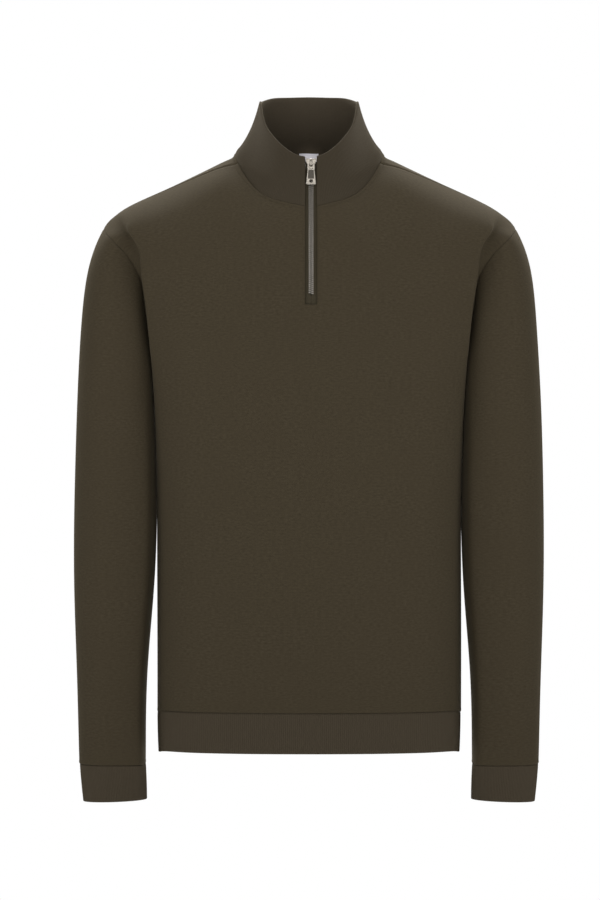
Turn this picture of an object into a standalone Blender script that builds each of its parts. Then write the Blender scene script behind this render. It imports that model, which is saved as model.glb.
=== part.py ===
"""Half zip sweatshirt, filled out and hollow, as worn with the arms hanging down.

Metres, +Z up, front towards -Y, the wearer's left arm towards +X. The origin is level with the
points where the collar meets the shoulders, on the wearer's middle line.

The cloth pieces are walls. Their outer skin is one smooth form that is worked out from sections,
so neighbouring pieces meet along the same seam line, 0.3 mm apart.
"""

import math

import bmesh
import bpy
from mathutils import Matrix, Vector
from mathutils.bvhtree import BVHTree

# cloth
WALL = 0.0018
RIB_WALL = 0.0022
COLLAR_WALL = 0.0028
HALF_SEAM = 0.00018
FOLD_LIMIT = 5.0
FOLD_LIFT = 0.0003
SLEEVE_CLEARANCE = 0.0014
PRESS_FADE = 0.060
PRESS_REACH = 0.030
PRESS_LEAST = 0.35
CLEAR = 0.0003

# levels
HEM_SEAM_Z = -0.654
HEM_Z = -0.702
CUFF_SEAM_Z = -0.720
CUFF_Z = -0.764
UNDERARM_Z = -0.256
SLOT_BOTTOM_Z = -0.175

# zip
ZIP_X = 0.0022
SLOT_HALF = 0.0070
CHAIN_HALF = 0.0030
CHAIN_DEPTH = (0.0013, 0.0038)
CHAIN_TOP_Z = -0.0102
CHAIN_BOTTOM_Z = -0.1628
TAPE_DEPTH = (0.0022, 0.0029)
TAPE_HALF = 0.0115
TAPE_FALL = 0.0014
TAPE_BOTTOM_Z = -0.184

# Sections of the body, level by level: depth of the front or back at its middle, half width at the
# corner, how far back the corner lies, squareness, then the side wall between corner and seam.
SECTION_COLUMNS = ("level", "depth", "reach", "corner", "square", "wall_x", "wall_y", "seam_x", "seam_y")
FRONT_SECTIONS = (
    (HEM_SEAM_Z, 0.112, 0.170, 0.058, 2.3, 0.1795, 0.028, 0.1820, 0.000),
    (-0.510, 0.118, 0.170, 0.060, 2.3, 0.1795, 0.029, 0.1820, 0.000),
    (-0.375, 0.121, 0.173, 0.061, 2.4, 0.1810, 0.031, 0.1828, 0.000),
    (UNDERARM_Z, 0.121, 0.1825, 0.064, 2.5, 0.1865, 0.036, 0.1875, 0.000),
    (-0.215, 0.119, 0.1880, 0.072, 2.5, 0.1887, 0.050, 0.1897, 0.029),
    (SLOT_BOTTOM_Z, 0.114, 0.1928, 0.076, 2.5, 0.1934, 0.058, 0.1962, 0.045),
    (-0.135, 0.107, 0.1985, 0.078, 2.5, 0.1996, 0.0605, 0.2040, 0.0550),
    (-0.102, 0.100, 0.2040, 0.0745, 2.4, 0.2065, 0.0575, 0.2290, 0.0560),
)
BACK_SECTIONS = (
    (HEM_SEAM_Z, 0.106, 0.170, 0.056, 2.3, 0.1795, 0.027, 0.1820, 0.000),
    (-0.510, 0.103, 0.170, 0.054, 2.3, 0.1795, 0.027, 0.1820, 0.000),
    (-0.375, 0.106, 0.173, 0.056, 2.3, 0.1810, 0.029, 0.1828, 0.000),
    (UNDERARM_Z, 0.112, 0.1825, 0.060, 2.4, 0.1865, 0.034, 0.1875, 0.000),
    (-0.212, 0.114, 0.1880, 0.070, 2.4, 0.1905, 0.050, 0.1920, 0.031),
    (-0.165, 0.114, 0.1940, 0.077, 2.4, 0.1970, 0.061, 0.2020, 0.048),
    (-0.120, 0.111, 0.2010, 0.079, 2.3, 0.2070, 0.068, 0.2170, 0.060),
)
# Where the columns lie between the middle and the corner, as shares of the corner's half width.
FRONT_SPREAD = (0.0, 0.19, 0.35, 0.50, 0.68, 0.86, 1.0)
BACK_SPREAD = (0.0, 0.17, 0.33, 0.47, 0.60, 0.74, 0.88, 1.0)

# The armhole above the sections: x, y, z of the seam from the last section to the shoulder's tip.
SHOULDER_TIP = (0.2466, 0.0020, -0.0806)
ARMHOLE_FRONT = ((0.2412, -0.0350, -0.0890),)
ARMHOLE_BACK = ((0.2380, 0.0430, -0.0930), (0.2448, 0.0240, -0.0848))

# Neckline of each panel from its middle to the shoulder seam.
NECK_FRONT = (
    (0.0000, -0.0880, -0.0585),
    (0.0330, -0.0800, -0.0520),
    (0.0620, -0.0580, -0.0370),
    (0.0845, -0.0220, -0.0030),
)
NECK_BACK = (
    (0.0000, 0.0740, 0.0150),
    (0.0400, 0.0680, 0.0148),
    (0.0720, 0.0430, 0.0145),
    (0.0864, 0.0070, 0.0135),
    (0.0845, -0.0220, -0.0030),
)
# The back panel beside the collar: x, crown height and distance behind it, for two rows.
NECK_SIDE = (
    ((0.0910, 0.0085, 0.0290), (0.0910, 0.0085, 0.0630)),
    ((0.1010, 0.0010, 0.0040), (0.1080, -0.0020, 0.0500)),
)
# The shoulder, column by column outwards: x, height of its crown, how far the seam lies forward of
# the crown, how far the back panel's upper row lies behind it.
SHOULDER_COLUMNS = ("x", "crown", "seam_forward", "row_behind")
SHOULDER = (
    (0.1280, -0.0112, 0.0225, 0.0140),
    (0.1740, -0.0328, 0.0080, 0.0200),
    (0.2140, -0.0524, 0.0030, 0.0220),
    (0.2324, -0.0643, 0.0010, 0.0230),
)
NECK_REACH = 0.100
CROWN_Y = 0.0050
GABLE = 1.55
YOKE_FRONT = 0.72
YOKE_BACK = 0.60
FOLD_OUT = 0.0055                   # how far the chest's fold swings out above its last section

# Sections of the sleeve, level by level: outer and inner half widths, half depth, middle's y.
SLEEVE_COLUMNS = ("level", "outer", "inner", "depth", "middle")
SLEEVE_SECTIONS = (
    (-0.090, 0.2522, 0.2000, 0.0640, 0.001),
    (-0.118, 0.2630, 0.1980, 0.0660, 0.001),
    (-0.166, 0.2703, 0.1930, 0.0670, 0.001),
    (-0.214, 0.2746, 0.1875, 0.0680, 0.001),
    (-0.262, 0.2774, 0.1845, 0.0680, 0.001),
    (-0.310, 0.2793, 0.1832, 0.0675, 0.001),
    (-0.358, 0.2806, 0.1826, 0.0665, 0.001),
    (-0.406, 0.2815, 0.1822, 0.0650, 0.000),
    (-0.454, 0.2820, 0.1816, 0.0630, -0.001),
    (-0.502, 0.2815, 0.1852, 0.0600, -0.003),
    (-0.550, 0.2801, 0.1898, 0.0565, -0.005),
    (-0.598, 0.2783, 0.1926, 0.0525, -0.008),
    (-0.646, 0.2766, 0.1942, 0.0480, -0.011),
    (-0.694, 0.2752, 0.1948, 0.0430, -0.014),
    (CUFF_SEAM_Z, 0.2743, 0.1949, 0.0395, -0.015),
)
# Rings of the sleeve: how far each has turned from the armhole towards a level ring.
SLEEVE_RINGS = ((-0.400, 0.14), (-0.400, 0.36), (-0.400, 0.64), (-0.420, 0.90), (-0.500, 1.0),
                (-0.610, 1.0), (CUFF_SEAM_Z, 1.0))
ARMHOLE_ANGLES = (0, 42, 86, 121, 143, 158, 180, 202, 217, 237, 270, 318)
SLEEVE_SQUARE = (2.15, 3.5)         # outer and inner side; 2 is an ellipse, the inner side lies flatter

# Bands: how far each steps in below its seam, and its half sizes at the open edge.
BAND_STEP = 0.0012
CUFF_HALF = (0.0380, 0.0310)
CUFF_SHIFT = 0.0028
CUFF_TILT = 0.0013
HEM_INSET = 0.0016
SIDE_DROP = 0.0050                  # how much lower the body hangs at its side seams
SIDE_DROP_DEPTH = 0.042
SIDE_DROP_HEIGHT = 0.160

# Collar: the open edge from the middle of the front to the middle of the back, and how much each
# part of the wall curves in below it.
COLLAR_COLUMNS = ("x", "y", "z", "hollow")
COLLAR_EDGE = (
    (0.0000, -0.0750, 0.0000, 0.0010),
    (0.0190, -0.0700, 0.0055, 0.0016),
    (0.0380, -0.0560, 0.0210, 0.0026),
    (0.0533, -0.0330, 0.0430, 0.0036),
    (0.0592, -0.0030, 0.0705, 0.0042),
    (0.0575, 0.0240, 0.0752, 0.0042),
    (0.0440, 0.0470, 0.0810, 0.0040),
    (0.0220, 0.0620, 0.0830, 0.0038),
    (0.0000, 0.0665, 0.0838, 0.0036),
)
COLLAR_ROWS = 3

# Slider and pull tab, in the zip's own directions.
SLIDER_TOP_Z = -0.0012
SLIDER_WIDE = 0.0134
SLIDER_NARROW = 0.0096
SLIDER_LENGTH = 0.0128
SLIDER_ROUND = 0.0016
SLIDER_SHOULDER = 0.0040
SLIDER_WAIST = 0.0075
SLIDER_PLATE = 0.0013
POST_HALF = 0.0018
BRIDGE_TOP = -0.0008
BRIDGE_WIDTH = 0.0030
BRIDGE_LENGTH = 0.0088
BRIDGE_CLEAR = 0.0021
BRIDGE_WALL = 0.0011
TAB_PIN = 0.0007
TAB_LENGTH = 0.0252
TAB_TOP_HALF = 0.0044
TAB_END_HALF = 0.0060
TAB_THICK = 0.0014
TAB_LIP = 0.0003
TAB_EYE = 0.0053
TAB_ROUND = 0.0018
TAB_STEPS = 4
HOLE_RADIUS = 0.0020
HOLE_UP = 0.0042
HOLE_SIDES = 16

LABEL_HALF = 0.0118
LABEL_DROP = 0.0200
LABEL_THICK = 0.0007
LABEL_CURVE = 0.0011

MATERIALS = {
    "jersey": ((0.055, 0.044, 0.026), 0.95, 0.0),
    "rib": ((0.052, 0.043, 0.029), 0.95, 0.0),
    "tape": ((0.050, 0.041, 0.026), 0.9, 0.0),
    "metal": ((0.60, 0.58, 0.54), 0.35, 1.0),
    "label": ((0.72, 0.71, 0.74), 0.8, 0.0),
}


def material(name, kind):
    """A material of the part's own."""
    colour, roughness, metallic = MATERIALS[kind]
    made = bpy.data.materials.new(name)
    made.use_nodes = True
    shader = made.node_tree.nodes["Principled BSDF"]
    shader.inputs["Base Color"].default_value = (*colour, 1.0)
    shader.inputs["Roughness"].default_value = roughness
    shader.inputs["Metallic"].default_value = metallic
    made.diffuse_color = (*colour, 1.0)
    return made


def add_object(name, vertices, faces, kind, origin=(0.0, 0.0, 0.0), smooth=True):
    """A named object whose origin is at the given point."""
    start = Vector(origin)
    mesh = bpy.data.meshes.new(name)
    mesh.from_pydata([Vector(v) - start for v in vertices], [], faces)
    mesh.validate()
    mesh.materials.append(material(name, kind))
    if smooth:
        mesh.shade_smooth()
        mesh.set_sharp_from_angle(angle=math.radians(40))
    made = bpy.data.objects.new(name, mesh)
    made.location = start
    bpy.context.collection.objects.link(made)
    return made


def mix(a, b, share):
    return a + (b - a) * share


def smooth_read(table, level, column):
    """A column of a table read at any level, along a smooth curve through its rows."""
    rows = sorted(table, key=lambda row: row[0])
    if level <= rows[0][0]:
        return rows[0][column]
    if level >= rows[-1][0]:
        return rows[-1][column]
    at = next(i for i in range(len(rows) - 1) if rows[i + 1][0] >= level)
    low, high = rows[at], rows[at + 1]
    before, after = rows[max(at - 1, 0)], rows[min(at + 2, len(rows) - 1)]
    span = high[0] - low[0]
    slope_low = (high[column] - before[column]) / (high[0] - before[0])
    slope_high = (after[column] - low[column]) / (after[0] - low[0])
    t = (level - low[0]) / span
    rise = high[column] - low[column]
    return (low[column] + t * t * (3 - 2 * t) * rise
            + span * (t * (1 - t) ** 2 * slope_low - t * t * (1 - t) * slope_high))


def section_row(section, spread, facing):
    """Points of one level from the middle to the seam; facing is -1 in front and 1 behind."""
    level, depth, reach, corner, square, wall_x, wall_y, seam_x, seam_y = section
    # the corner lies on a rounded quarter whose flat side is a little behind it
    back = corner - 0.30 * (depth - corner)
    row = []
    full = (1 - ((corner - back) / (depth - back)) ** square) ** (1 / square)
    for share in spread:
        across = share * full
        fall = (1 - across**square) ** (1 / square)
        row.append((share * reach, facing * (back + (depth - back) * fall), level))
    row.append((wall_x, facing * wall_y, level))
    row.append((seam_x, facing * seam_y, level))
    return row


def gable(column, foot, away, facing):
    """A point of the shoulder's cross-section, so far in front of or behind its crown."""
    x, crown = column[0], column[1]
    span = abs(foot[1] - CROWN_Y)
    share = away / span
    drop = 1 - (1 - share**GABLE) ** (1 / GABLE)
    return (mix(x, foot[0], drop), CROWN_Y + facing * away, mix(crown, foot[2], drop))


def between(low, high, share, bulge, facing):
    """A point between two others, lifted outwards in the plane across the body."""
    run, rise = high[1] - low[1], high[2] - low[2]
    lift = bulge * math.hypot(run, rise)
    length = math.hypot(run, rise)
    normal_y, normal_z = facing * abs(rise) / length, abs(run) / length
    return (mix(low[0], high[0], share), mix(low[1], high[1], share) + lift * normal_y,
            mix(low[2], high[2], share) + lift * normal_z)


def front_rows():
    """The front panel's half, row by row from hem to shoulder."""
    rows = [section_row(section, FRONT_SPREAD, -1) for section in FRONT_SECTIONS]
    last = rows[-1]
    neck = list(NECK_FRONT)
    yoke = [between(last[i], neck[i], 0.5, (0.02, 0.035, 0.07)[i], -1) for i in range(3)]
    yoke.append(between(last[3], neck[3], 0.5, 0.13, -1))
    top = neck
    for i, column in enumerate(SHOULDER, start=4):
        foot = last[i]
        x, y, z = gable(column, foot, YOKE_FRONT * abs(foot[1] - CROWN_Y), -1)
        yoke.append((x + (FOLD_OUT if i == 6 else 0.0), y, z))
        top.append(gable(column, foot, column[2], -1))
    yoke.append(ARMHOLE_FRONT[0])
    top.append(SHOULDER_TIP)
    return rows + [yoke, top]


def back_rows():
    """The back panel's half, row by row from hem to shoulder; it wraps over the crown."""
    rows = [section_row(section, BACK_SPREAD, 1) for section in BACK_SECTIONS]
    last = rows[-1]
    neck = list(NECK_BACK)
    yoke, crown = [], []
    for i in range(3):
        yoke.append(between(last[i], neck[i], 0.36, 0.045 + 0.02 * i, 1))
        crown.append(between(last[i], neck[i], 0.72, 0.035 + 0.02 * i, 1))
    top = neck
    for i, (upper, lower) in enumerate(NECK_SIDE, start=3):
        crown.append(gable(upper, last[i], upper[2], 1))
        yoke.append(gable(lower, last[i], lower[2], 1))
    for i, column in enumerate(SHOULDER, start=5):
        foot = last[i]
        yoke.append(gable(column, foot, YOKE_BACK * abs(foot[1] - CROWN_Y), 1))
        crown.append(gable(column, foot, column[3], 1))
        top.append(front_rows()[-1][i - 1])
    yoke.append(ARMHOLE_BACK[0])
    crown.append(ARMHOLE_BACK[1])
    top.append(SHOULDER_TIP)
    return rows + [yoke, crown, top]


def sleeve_point(level, angle):
    """A point of the sleeve's form at a level; the angle turns from the outer side to the front."""
    outer, inner, depth, middle = (smooth_read(SLEEVE_SECTIONS, level, c) for c in (1, 2, 3, 4))
    aside, forward = math.cos(math.radians(angle)), math.sin(math.radians(angle))
    power = 2 / SLEEVE_SQUARE[aside < -1e-6]
    aside, forward = (math.copysign(abs(v) ** power, v) for v in (aside, forward))
    return ((outer + inner) / 2 + (outer - inner) / 2 * aside, middle - depth * forward, level)


def sleeve_rings(front, back):
    """Rings of the sleeve from the armhole to the cuff, twelve points in each."""
    under = FRONT_SECTIONS[3]
    armhole = [SHOULDER_TIP, ARMHOLE_FRONT[0]]
    armhole += [front[r][-1] for r in (7, 6, 5, 4)]
    armhole.append((under[7], under[8], under[0]))
    armhole += [back[r][-1] for r in (4, 5, 6)] + list(ARMHOLE_BACK)
    rings = [armhole]
    for level, turned in SLEEVE_RINGS:
        ring = []
        for i, start in enumerate(armhole):
            angle = mix(ARMHOLE_ANGLES[i], 30 * i, min(1.0, 1.4 * turned))
            ring.append(sleeve_point(mix(start[2], level, turned), angle))
        rings.append(ring)
    return rings


PANELS = ("front_panel", "back_panel", "sleeve_left", "sleeve_right")
FRONT, BACK, LEFT, RIGHT = range(4)


class Cage:
    """Corner points and faces of the smooth form, each face belonging to one panel."""

    def __init__(self):
        self.points = []
        self.index = {}
        self.faces = []
        self.panels = []

    def vertex(self, point):
        key = tuple(round(c * 1e6) for c in point)
        if key not in self.index:
            self.index[key] = len(self.points)
            self.points.append(Vector(point))
        return self.index[key]

    def strip(self, rows, panel, flip, skip=None):
        for r in range(len(rows) - 1):
            for c in range(len(rows[r]) - 1):
                if skip and skip(r, c):
                    continue
                corners = (rows[r][c], rows[r][c + 1], rows[r + 1][c + 1], rows[r + 1][c])
                face = [self.vertex(p) for p in corners]
                self.faces.append(face[::-1] if flip else face)
                self.panels.append(panel)


def mirrored(rows, side):
    return [[(side * x, y, z) for x, y, z in row] for row in rows]


def body_cage():
    """The whole form of front, back and sleeves, with the zip's slot left open."""
    cage = Cage()
    front, back = front_rows(), back_rows()
    slot_row = next(i for i, s in enumerate(FRONT_SECTIONS) if s[0] == SLOT_BOTTOM_Z)
    rims = {}
    for side in (1, -1):
        half = mirrored(front, side)
        for row in half:
            row[0] = (ZIP_X + side * SLOT_HALF, row[0][1], row[0][2])
        rims[side] = [row[0] for row in half]
        cage.strip(half, FRONT, side < 0)
        cage.strip(mirrored(back, side), BACK, side > 0)
        rings = mirrored(sleeve_rings(front, back), side)
        rings = [ring + ring[:1] for ring in rings]
        cage.strip(rings, LEFT if side > 0 else RIGHT, side < 0)
    middle = [[rims[-1][r], rims[1][r]] for r in range(slot_row + 1)]
    cage.strip(middle, FRONT, False)
    corners = [cage.vertex(rims[side][slot_row]) for side in (1, -1)]
    armholes = []
    for side in (1, -1):
        ring = mirrored(sleeve_rings(front, back), side)[0]
        armholes.append([cage.vertex(p) for p in ring])
    folds = []
    for side in (1, -1):
        folds.append([cage.vertex(row[6]) for row in mirrored(front, side)[3:9]])
    return cage, corners, armholes, folds


def subdivided(cage, points, level, corners, armholes, folds):
    """The smooth form's mesh at a level of subdivision, its points on the limit surface."""
    mesh = bpy.data.meshes.new("form")
    mesh.from_pydata(points, [], cage.faces)
    panel = mesh.attributes.new("panel", "INT", "FACE")
    panel.data.foreach_set("value", cage.panels)
    sharp = mesh.attributes.new("crease_vert", "FLOAT", "POINT")
    for corner in corners:
        sharp.data[corner].value = 1.0
    crease = mesh.attributes.new("crease_edge", "FLOAT", "EDGE")
    weights = {}
    # the armhole is a sharp valley below, and fades into the round of the shoulder
    around = (0.0, 0.0, 0.45, 1.0, 1.0, 1.0, 1.0, 1.0, 1.0, 0.45, 0.0, 0.0)
    for ring in armholes:
        for i, vertex in enumerate(ring):
            weights[frozenset((vertex, ring[(i + 1) % 12]))] = around[i]
    for fold in folds:
        for i, weight in enumerate((0.30, 0.42, 0.46, 0.50, 0.42)):
            weights[frozenset((fold[i], fold[i + 1]))] = weight
    for edge in mesh.edges:
        crease.data[edge.index].value = weights.get(frozenset(edge.vertices), 0.0)
    form = bpy.data.objects.new("form", mesh)
    bpy.context.collection.objects.link(form)
    smooth = form.modifiers.new("Subdivision", "SUBSURF")
    smooth.levels = level
    smooth.render_levels = level
    smooth.boundary_smooth = "PRESERVE_CORNERS"
    graph = bpy.context.evaluated_depsgraph_get()
    made = bpy.data.meshes.new_from_object(form.evaluated_get(graph))
    result = [v.co.copy() for v in made.vertices]
    faces = [tuple(p.vertices) for p in made.polygons]
    panels = [made.attributes["panel"].data[i].value for i in range(len(faces))]
    bpy.data.objects.remove(form)
    bpy.data.meshes.remove(mesh)
    bpy.data.meshes.remove(made)
    return result, faces, panels


def fitted_form(level):
    """The form whose smooth surface passes through the cage's points."""
    cage, corners, armholes, folds = body_cage()
    control = [p.copy() for p in cage.points]
    for _ in range(8):
        reached = subdivided(cage, control, 1, corners, armholes, folds)[0]
        for i, goal in enumerate(cage.points):
            control[i] += goal - reached[i]
    return subdivided(cage, control, level, corners, armholes, folds)


def keep_apart(points, faces, panels, clearance):
    """Each sleeve is pressed back until it is clear of the body."""
    body = [face for face, panel in zip(faces, panels) if panel in (FRONT, BACK)]
    tree = BVHTree.FromPolygons(points, body)
    on_body = {v for face in body for v in face}
    on_sleeve = {v for face, panel in zip(faces, panels) if panel in (LEFT, RIGHT) for v in face}
    moved = {}
    for v in on_sleeve - on_body:
        nearest, normal, _, distance = tree.find_nearest(points[v])
        below = (UNDERARM_Z + PRESS_FADE - points[v].z) / PRESS_FADE
        if distance > PRESS_REACH or below < 0.0:
            continue
        height = (points[v] - nearest).dot(normal)
        wanted = clearance * mix(PRESS_LEAST, 1.0, min(1.0, below))
        if height < wanted:
            moved[v] = points[v] + normal * (wanted - height)
    for v, place in moved.items():
        points[v] = place


def face_normal(points, face):
    normal = Vector((0.0, 0.0, 0.0))
    for i, v in enumerate(face):
        a, b = points[v], points[face[(i + 1) % len(face)]]
        normal += a.cross(b)
    return normal.normalized()


def vertex_normals(points, faces):
    """Area-weighted normals of the points that the faces use."""
    normals = {}
    for face in faces:
        normal = Vector((0.0, 0.0, 0.0))
        for i, v in enumerate(face):
            normal += points[v].cross(points[face[(i + 1) % len(face)]])
        for v in face:
            normals[v] = normals.get(v, Vector((0.0, 0.0, 0.0))) + normal
    return {v: n.normalized() for v, n in normals.items()}


def border_edges(faces):
    """Directed edges that only one face has, keyed by their start."""
    edges = {}
    for face in faces:
        for i, v in enumerate(face):
            edges[(v, face[(i + 1) % len(face)])] = face
    return {(a, b): face for (a, b), face in edges.items() if (b, a) not in edges}


def seam_pulls(points, faces):
    """For each border point of a panel, how it draws back from its seam."""
    pull = {}
    for (a, b), face in border_edges(faces).items():
        along = (points[b] - points[a]).normalized()
        inward = face_normal(points, face).cross(along)
        for v in (a, b):
            pull.setdefault(v, []).append(inward)
    return {v: (w[0] + w[-1]) / (1 + max(w[0].dot(w[-1]), -0.5)) for v, w in pull.items()}


def panel_solid(name, points, faces, all_normals, pulls, lift, wall, kind):
    """One cloth panel: its outer skin on the form, its inner skin a wall inside it."""
    own = vertex_normals(points, faces)
    border = border_edges(faces)
    pull = seam_pulls(points, faces)
    order = sorted(own)
    place = {v: i for i, v in enumerate(order)}
    outer, inner = [], []
    for v in order:
        normal = all_normals[v]
        point = points[v].copy()
        if v in pull:
            # in a fold the two sides of a seam need to draw back further to stay apart
            way = pull[v].normalized()
            closest = max([way.dot(other[v].normalized()) for other in pulls
                           if v in other and other[v] != pull[v]], default=-1.0)
            if way.dot(normal) > 0.0 and own[v].dot(normal) < 0.85:
                normal = own[v]
            point += pull[v] * HALF_SEAM * min(FOLD_LIMIT, 2 / math.sqrt(max(0.01, 2 - 2 * closest)))
            if v in lift:
                point += lift[v] * FOLD_LIFT * max(0.0, closest)
        outer.append(point)
        inner.append(point - normal * wall)
    count = len(order)
    solid = [tuple(place[v] for v in face) for face in faces]
    solid += [tuple(place[v] + count for v in face[::-1]) for face in faces]
    solid += [(place[b], place[a], place[a] + count, place[b] + count) for a, b in border]
    return add_object(name, outer + inner, solid, kind)


def border_loop(faces, wanted):
    """The border's points in order, for those that the test accepts, with the faces' direction."""
    steps = {a: b for a, b in border_edges(faces) if wanted(a) and wanted(b)}
    starts = [a for a in steps if a not in steps.values()]
    at = starts[0] if starts else min(steps)
    loop = [at]
    while at in steps and steps[at] != loop[0]:
        at = steps[at]
        loop.append(at)
    return loop


def ring_wall(name, outer_rows, inner_rows, kind, closed):
    """A wall between rows of outer points and rows of inner points, open or closed around."""
    count = len(outer_rows[0])
    vertices = [p for row in outer_rows + inner_rows for p in row]
    turn = count if closed else count - 1
    last = len(outer_rows) - 1
    start = len(outer_rows) * count
    faces = []
    for i in range(turn):
        j = (i + 1) % count
        for r in range(last):
            a, b = r * count, (r + 1) * count
            faces.append((a + i, a + j, b + j, b + i))
            faces.append((start + a + j, start + a + i, start + b + i, start + b + j))
        faces.append((start + i, start + j, j, i))
        end = last * count
        faces.append((end + i, end + j, start + end + j, start + end + i))
    if not closed:
        for r in range(last):
            a, b = r * count, (r + 1) * count
            faces.append((a, b, start + b, start + a))
            e = count - 1
            faces.append((b + e, a + e, start + a + e, start + b + e))
    return add_object(name, vertices, faces, kind)


def inset_row(row, amount, centre=None):
    """A ring moved towards the inside of its own outline, level by level."""
    count = len(row)
    moved = []
    for i, p in enumerate(row):
        along = row[(i + 1) % count] - row[i - 1]
        side = Vector((along.y, -along.x, 0.0)).normalized()
        inside = Vector(centre) - p if centre else -p
        if side.dot(Vector((inside.x, inside.y, 0.0))) < 0:
            side = -side
        moved.append(p + side * amount)
    return moved


def make_hem(points, faces):
    """The hem band: one ribbed ring, a little inside the body's lower edge."""
    loop = border_loop(faces, lambda v: abs(points[v].z - HEM_SEAM_Z) < 1e-4)
    seam = [Vector((points[v].x, points[v].y, HEM_SEAM_Z - 2 * HALF_SEAM)) for v in loop]
    lower = inset_row(seam, HEM_INSET)
    rows = [inset_row(seam, BAND_STEP),
            [Vector((p.x, p.y, HEM_Z)) for p in lower]]
    if rows[0][1].x > rows[0][0].x:
        rows = rows[::-1]
    inner = [inset_row(row, RIB_WALL) for row in rows]
    return outward(ring_wall("hem_band", rows, inner, "rib", True))


def drop_sides(name):
    """The body hangs a little lower at its side seams."""
    for vertex in bpy.data.objects[name].data.vertices:
        low = min(1.0, max(0.0, (HEM_SEAM_Z + SIDE_DROP_HEIGHT - vertex.co.z) / SIDE_DROP_HEIGHT))
        fade = math.exp(-(vertex.co.y / SIDE_DROP_DEPTH) ** 2)
        vertex.co.z -= SIDE_DROP * low * low * (3 - 2 * low) * fade


def make_cuff(name, points, faces, side):
    """A cuff: a narrower ribbed ring below the sleeve's end."""
    loop = border_loop(faces, lambda v: abs(points[v].z - CUFF_SEAM_Z) < 1e-4)
    seam = [Vector((points[v].x, points[v].y, CUFF_SEAM_Z - 2 * HALF_SEAM)) for v in loop]
    end = SLEEVE_SECTIONS[-1]
    centre = Vector((side * (end[1] + end[2]) / 2, end[4], 0.0))
    rows = [inset_row(seam, BAND_STEP, centre)]
    for level, share in ((CUFF_SEAM_Z - 0.014, 0.85), (CUFF_Z, 1.0)):
        row = []
        for p in rows[0]:
            turn = math.atan2((p.y - centre.y) / end[3], (p.x - centre.x) / ((end[1] - end[2]) / 2))
            round_x = centre.x + CUFF_HALF[0] * math.cos(turn) - side * CUFF_SHIFT
            round_y = centre.y + CUFF_HALF[1] * math.sin(turn)
            tilt = -CUFF_TILT * side * math.cos(turn) * (level - CUFF_SEAM_Z) / (CUFF_Z - CUFF_SEAM_Z)
            row.append(Vector((mix(p.x, round_x, share), mix(p.y, round_y, share), level + tilt)))
        rows.append(row)
    inner = [inset_row(row, RIB_WALL, centre) for row in rows]
    return outward(ring_wall(name, rows, inner, "rib", True))


def outward(made):
    """Turn the faces of a closed body outwards."""
    mesh = made.data
    work = bmesh.new()
    work.from_mesh(mesh)
    bmesh.ops.recalc_face_normals(work, faces=work.faces)
    if work.calc_volume(signed=True) < 0:
        bmesh.ops.reverse_faces(work, faces=work.faces)
    work.to_mesh(mesh)
    work.free()
    return made


def collar_edge(share):
    """The collar's open edge and hollow at a share of the way from front to back middle."""
    table = [(i / (len(COLLAR_EDGE) - 1), *row) for i, row in enumerate(COLLAR_EDGE)]
    x, y, z, hollow = (smooth_read(table, share, c) for c in (1, 2, 3, 4))
    return Vector((x, y, z)), hollow


def collar_rows(points, faces):
    """Outer and inner rows of the collar, from the neck seam to the open edge."""
    def on_neck(v):
        return points[v].xy.length < NECK_REACH and points[v].z > NECK_FRONT[0][2] - CLEAR
    loop = border_loop(faces, on_neck)
    base = [points[v].copy() for v in loop]
    if base[0].x > base[-1].x:
        base = base[::-1]
    lengths = [0.0]
    for i in range(1, len(base)):
        lengths.append(lengths[-1] + (base[i] - base[i - 1]).length)
    back = min(range(len(base)), key=lambda i: abs(base[i].x) if base[i].y > 0 else 9.0)
    rows = [[] for _ in range(COLLAR_ROWS + 1)]
    for i, p in enumerate(base):
        side = -1 if i < back else 1
        aside = abs(base[0].x if i <= back else base[-1].x)
        whole = lengths[back] if i <= back else lengths[-1] - lengths[back]
        gone = lengths[i] if i <= back else lengths[-1] - lengths[i]
        edge, hollow = collar_edge((gone + aside) / (whole + aside))
        at_x = side * edge.x if i != back else 0.0
        if i in (0, len(base) - 1):
            at_x = p.x
        top = Vector((at_x, edge.y, edge.z))
        inside = Vector((-p.x, -p.y, 0.0)).normalized()
        start = p + (top - p).normalized() * (2 * HALF_SEAM)
        for r in range(COLLAR_ROWS + 1):
            v = r / COLLAR_ROWS
            bend = 4 * v * (1 - v) * (1.25 - 0.5 * v)
            rows[r].append(start.lerp(top, v) + inside * hollow * bend)
    return rows


def make_collar(points, faces):
    """The stand collar: a doubled rib band, open at the zip."""
    rows = collar_rows(points, faces)
    inner = []
    for r, row in enumerate(rows):
        inner_row = []
        for i, p in enumerate(row):
            along = row[min(i + 1, len(row) - 1)] - row[max(i - 1, 0)]
            up = rows[min(r + 1, COLLAR_ROWS)][i] - rows[max(r - 1, 0)][i]
            inside = along.cross(up).normalized()
            if inside.dot(Vector((-p.x, -p.y, 0.0))) < 0:
                inside = -inside
            if i in (0, len(row) - 1):
                inside = Vector((0.0, inside.y, inside.z)).normalized()
            inner_row.append(p + inside * COLLAR_WALL)
        inner.append(inner_row)
    return outward(ring_wall("collar", rows, inner, "rib", False)), rows


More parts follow.
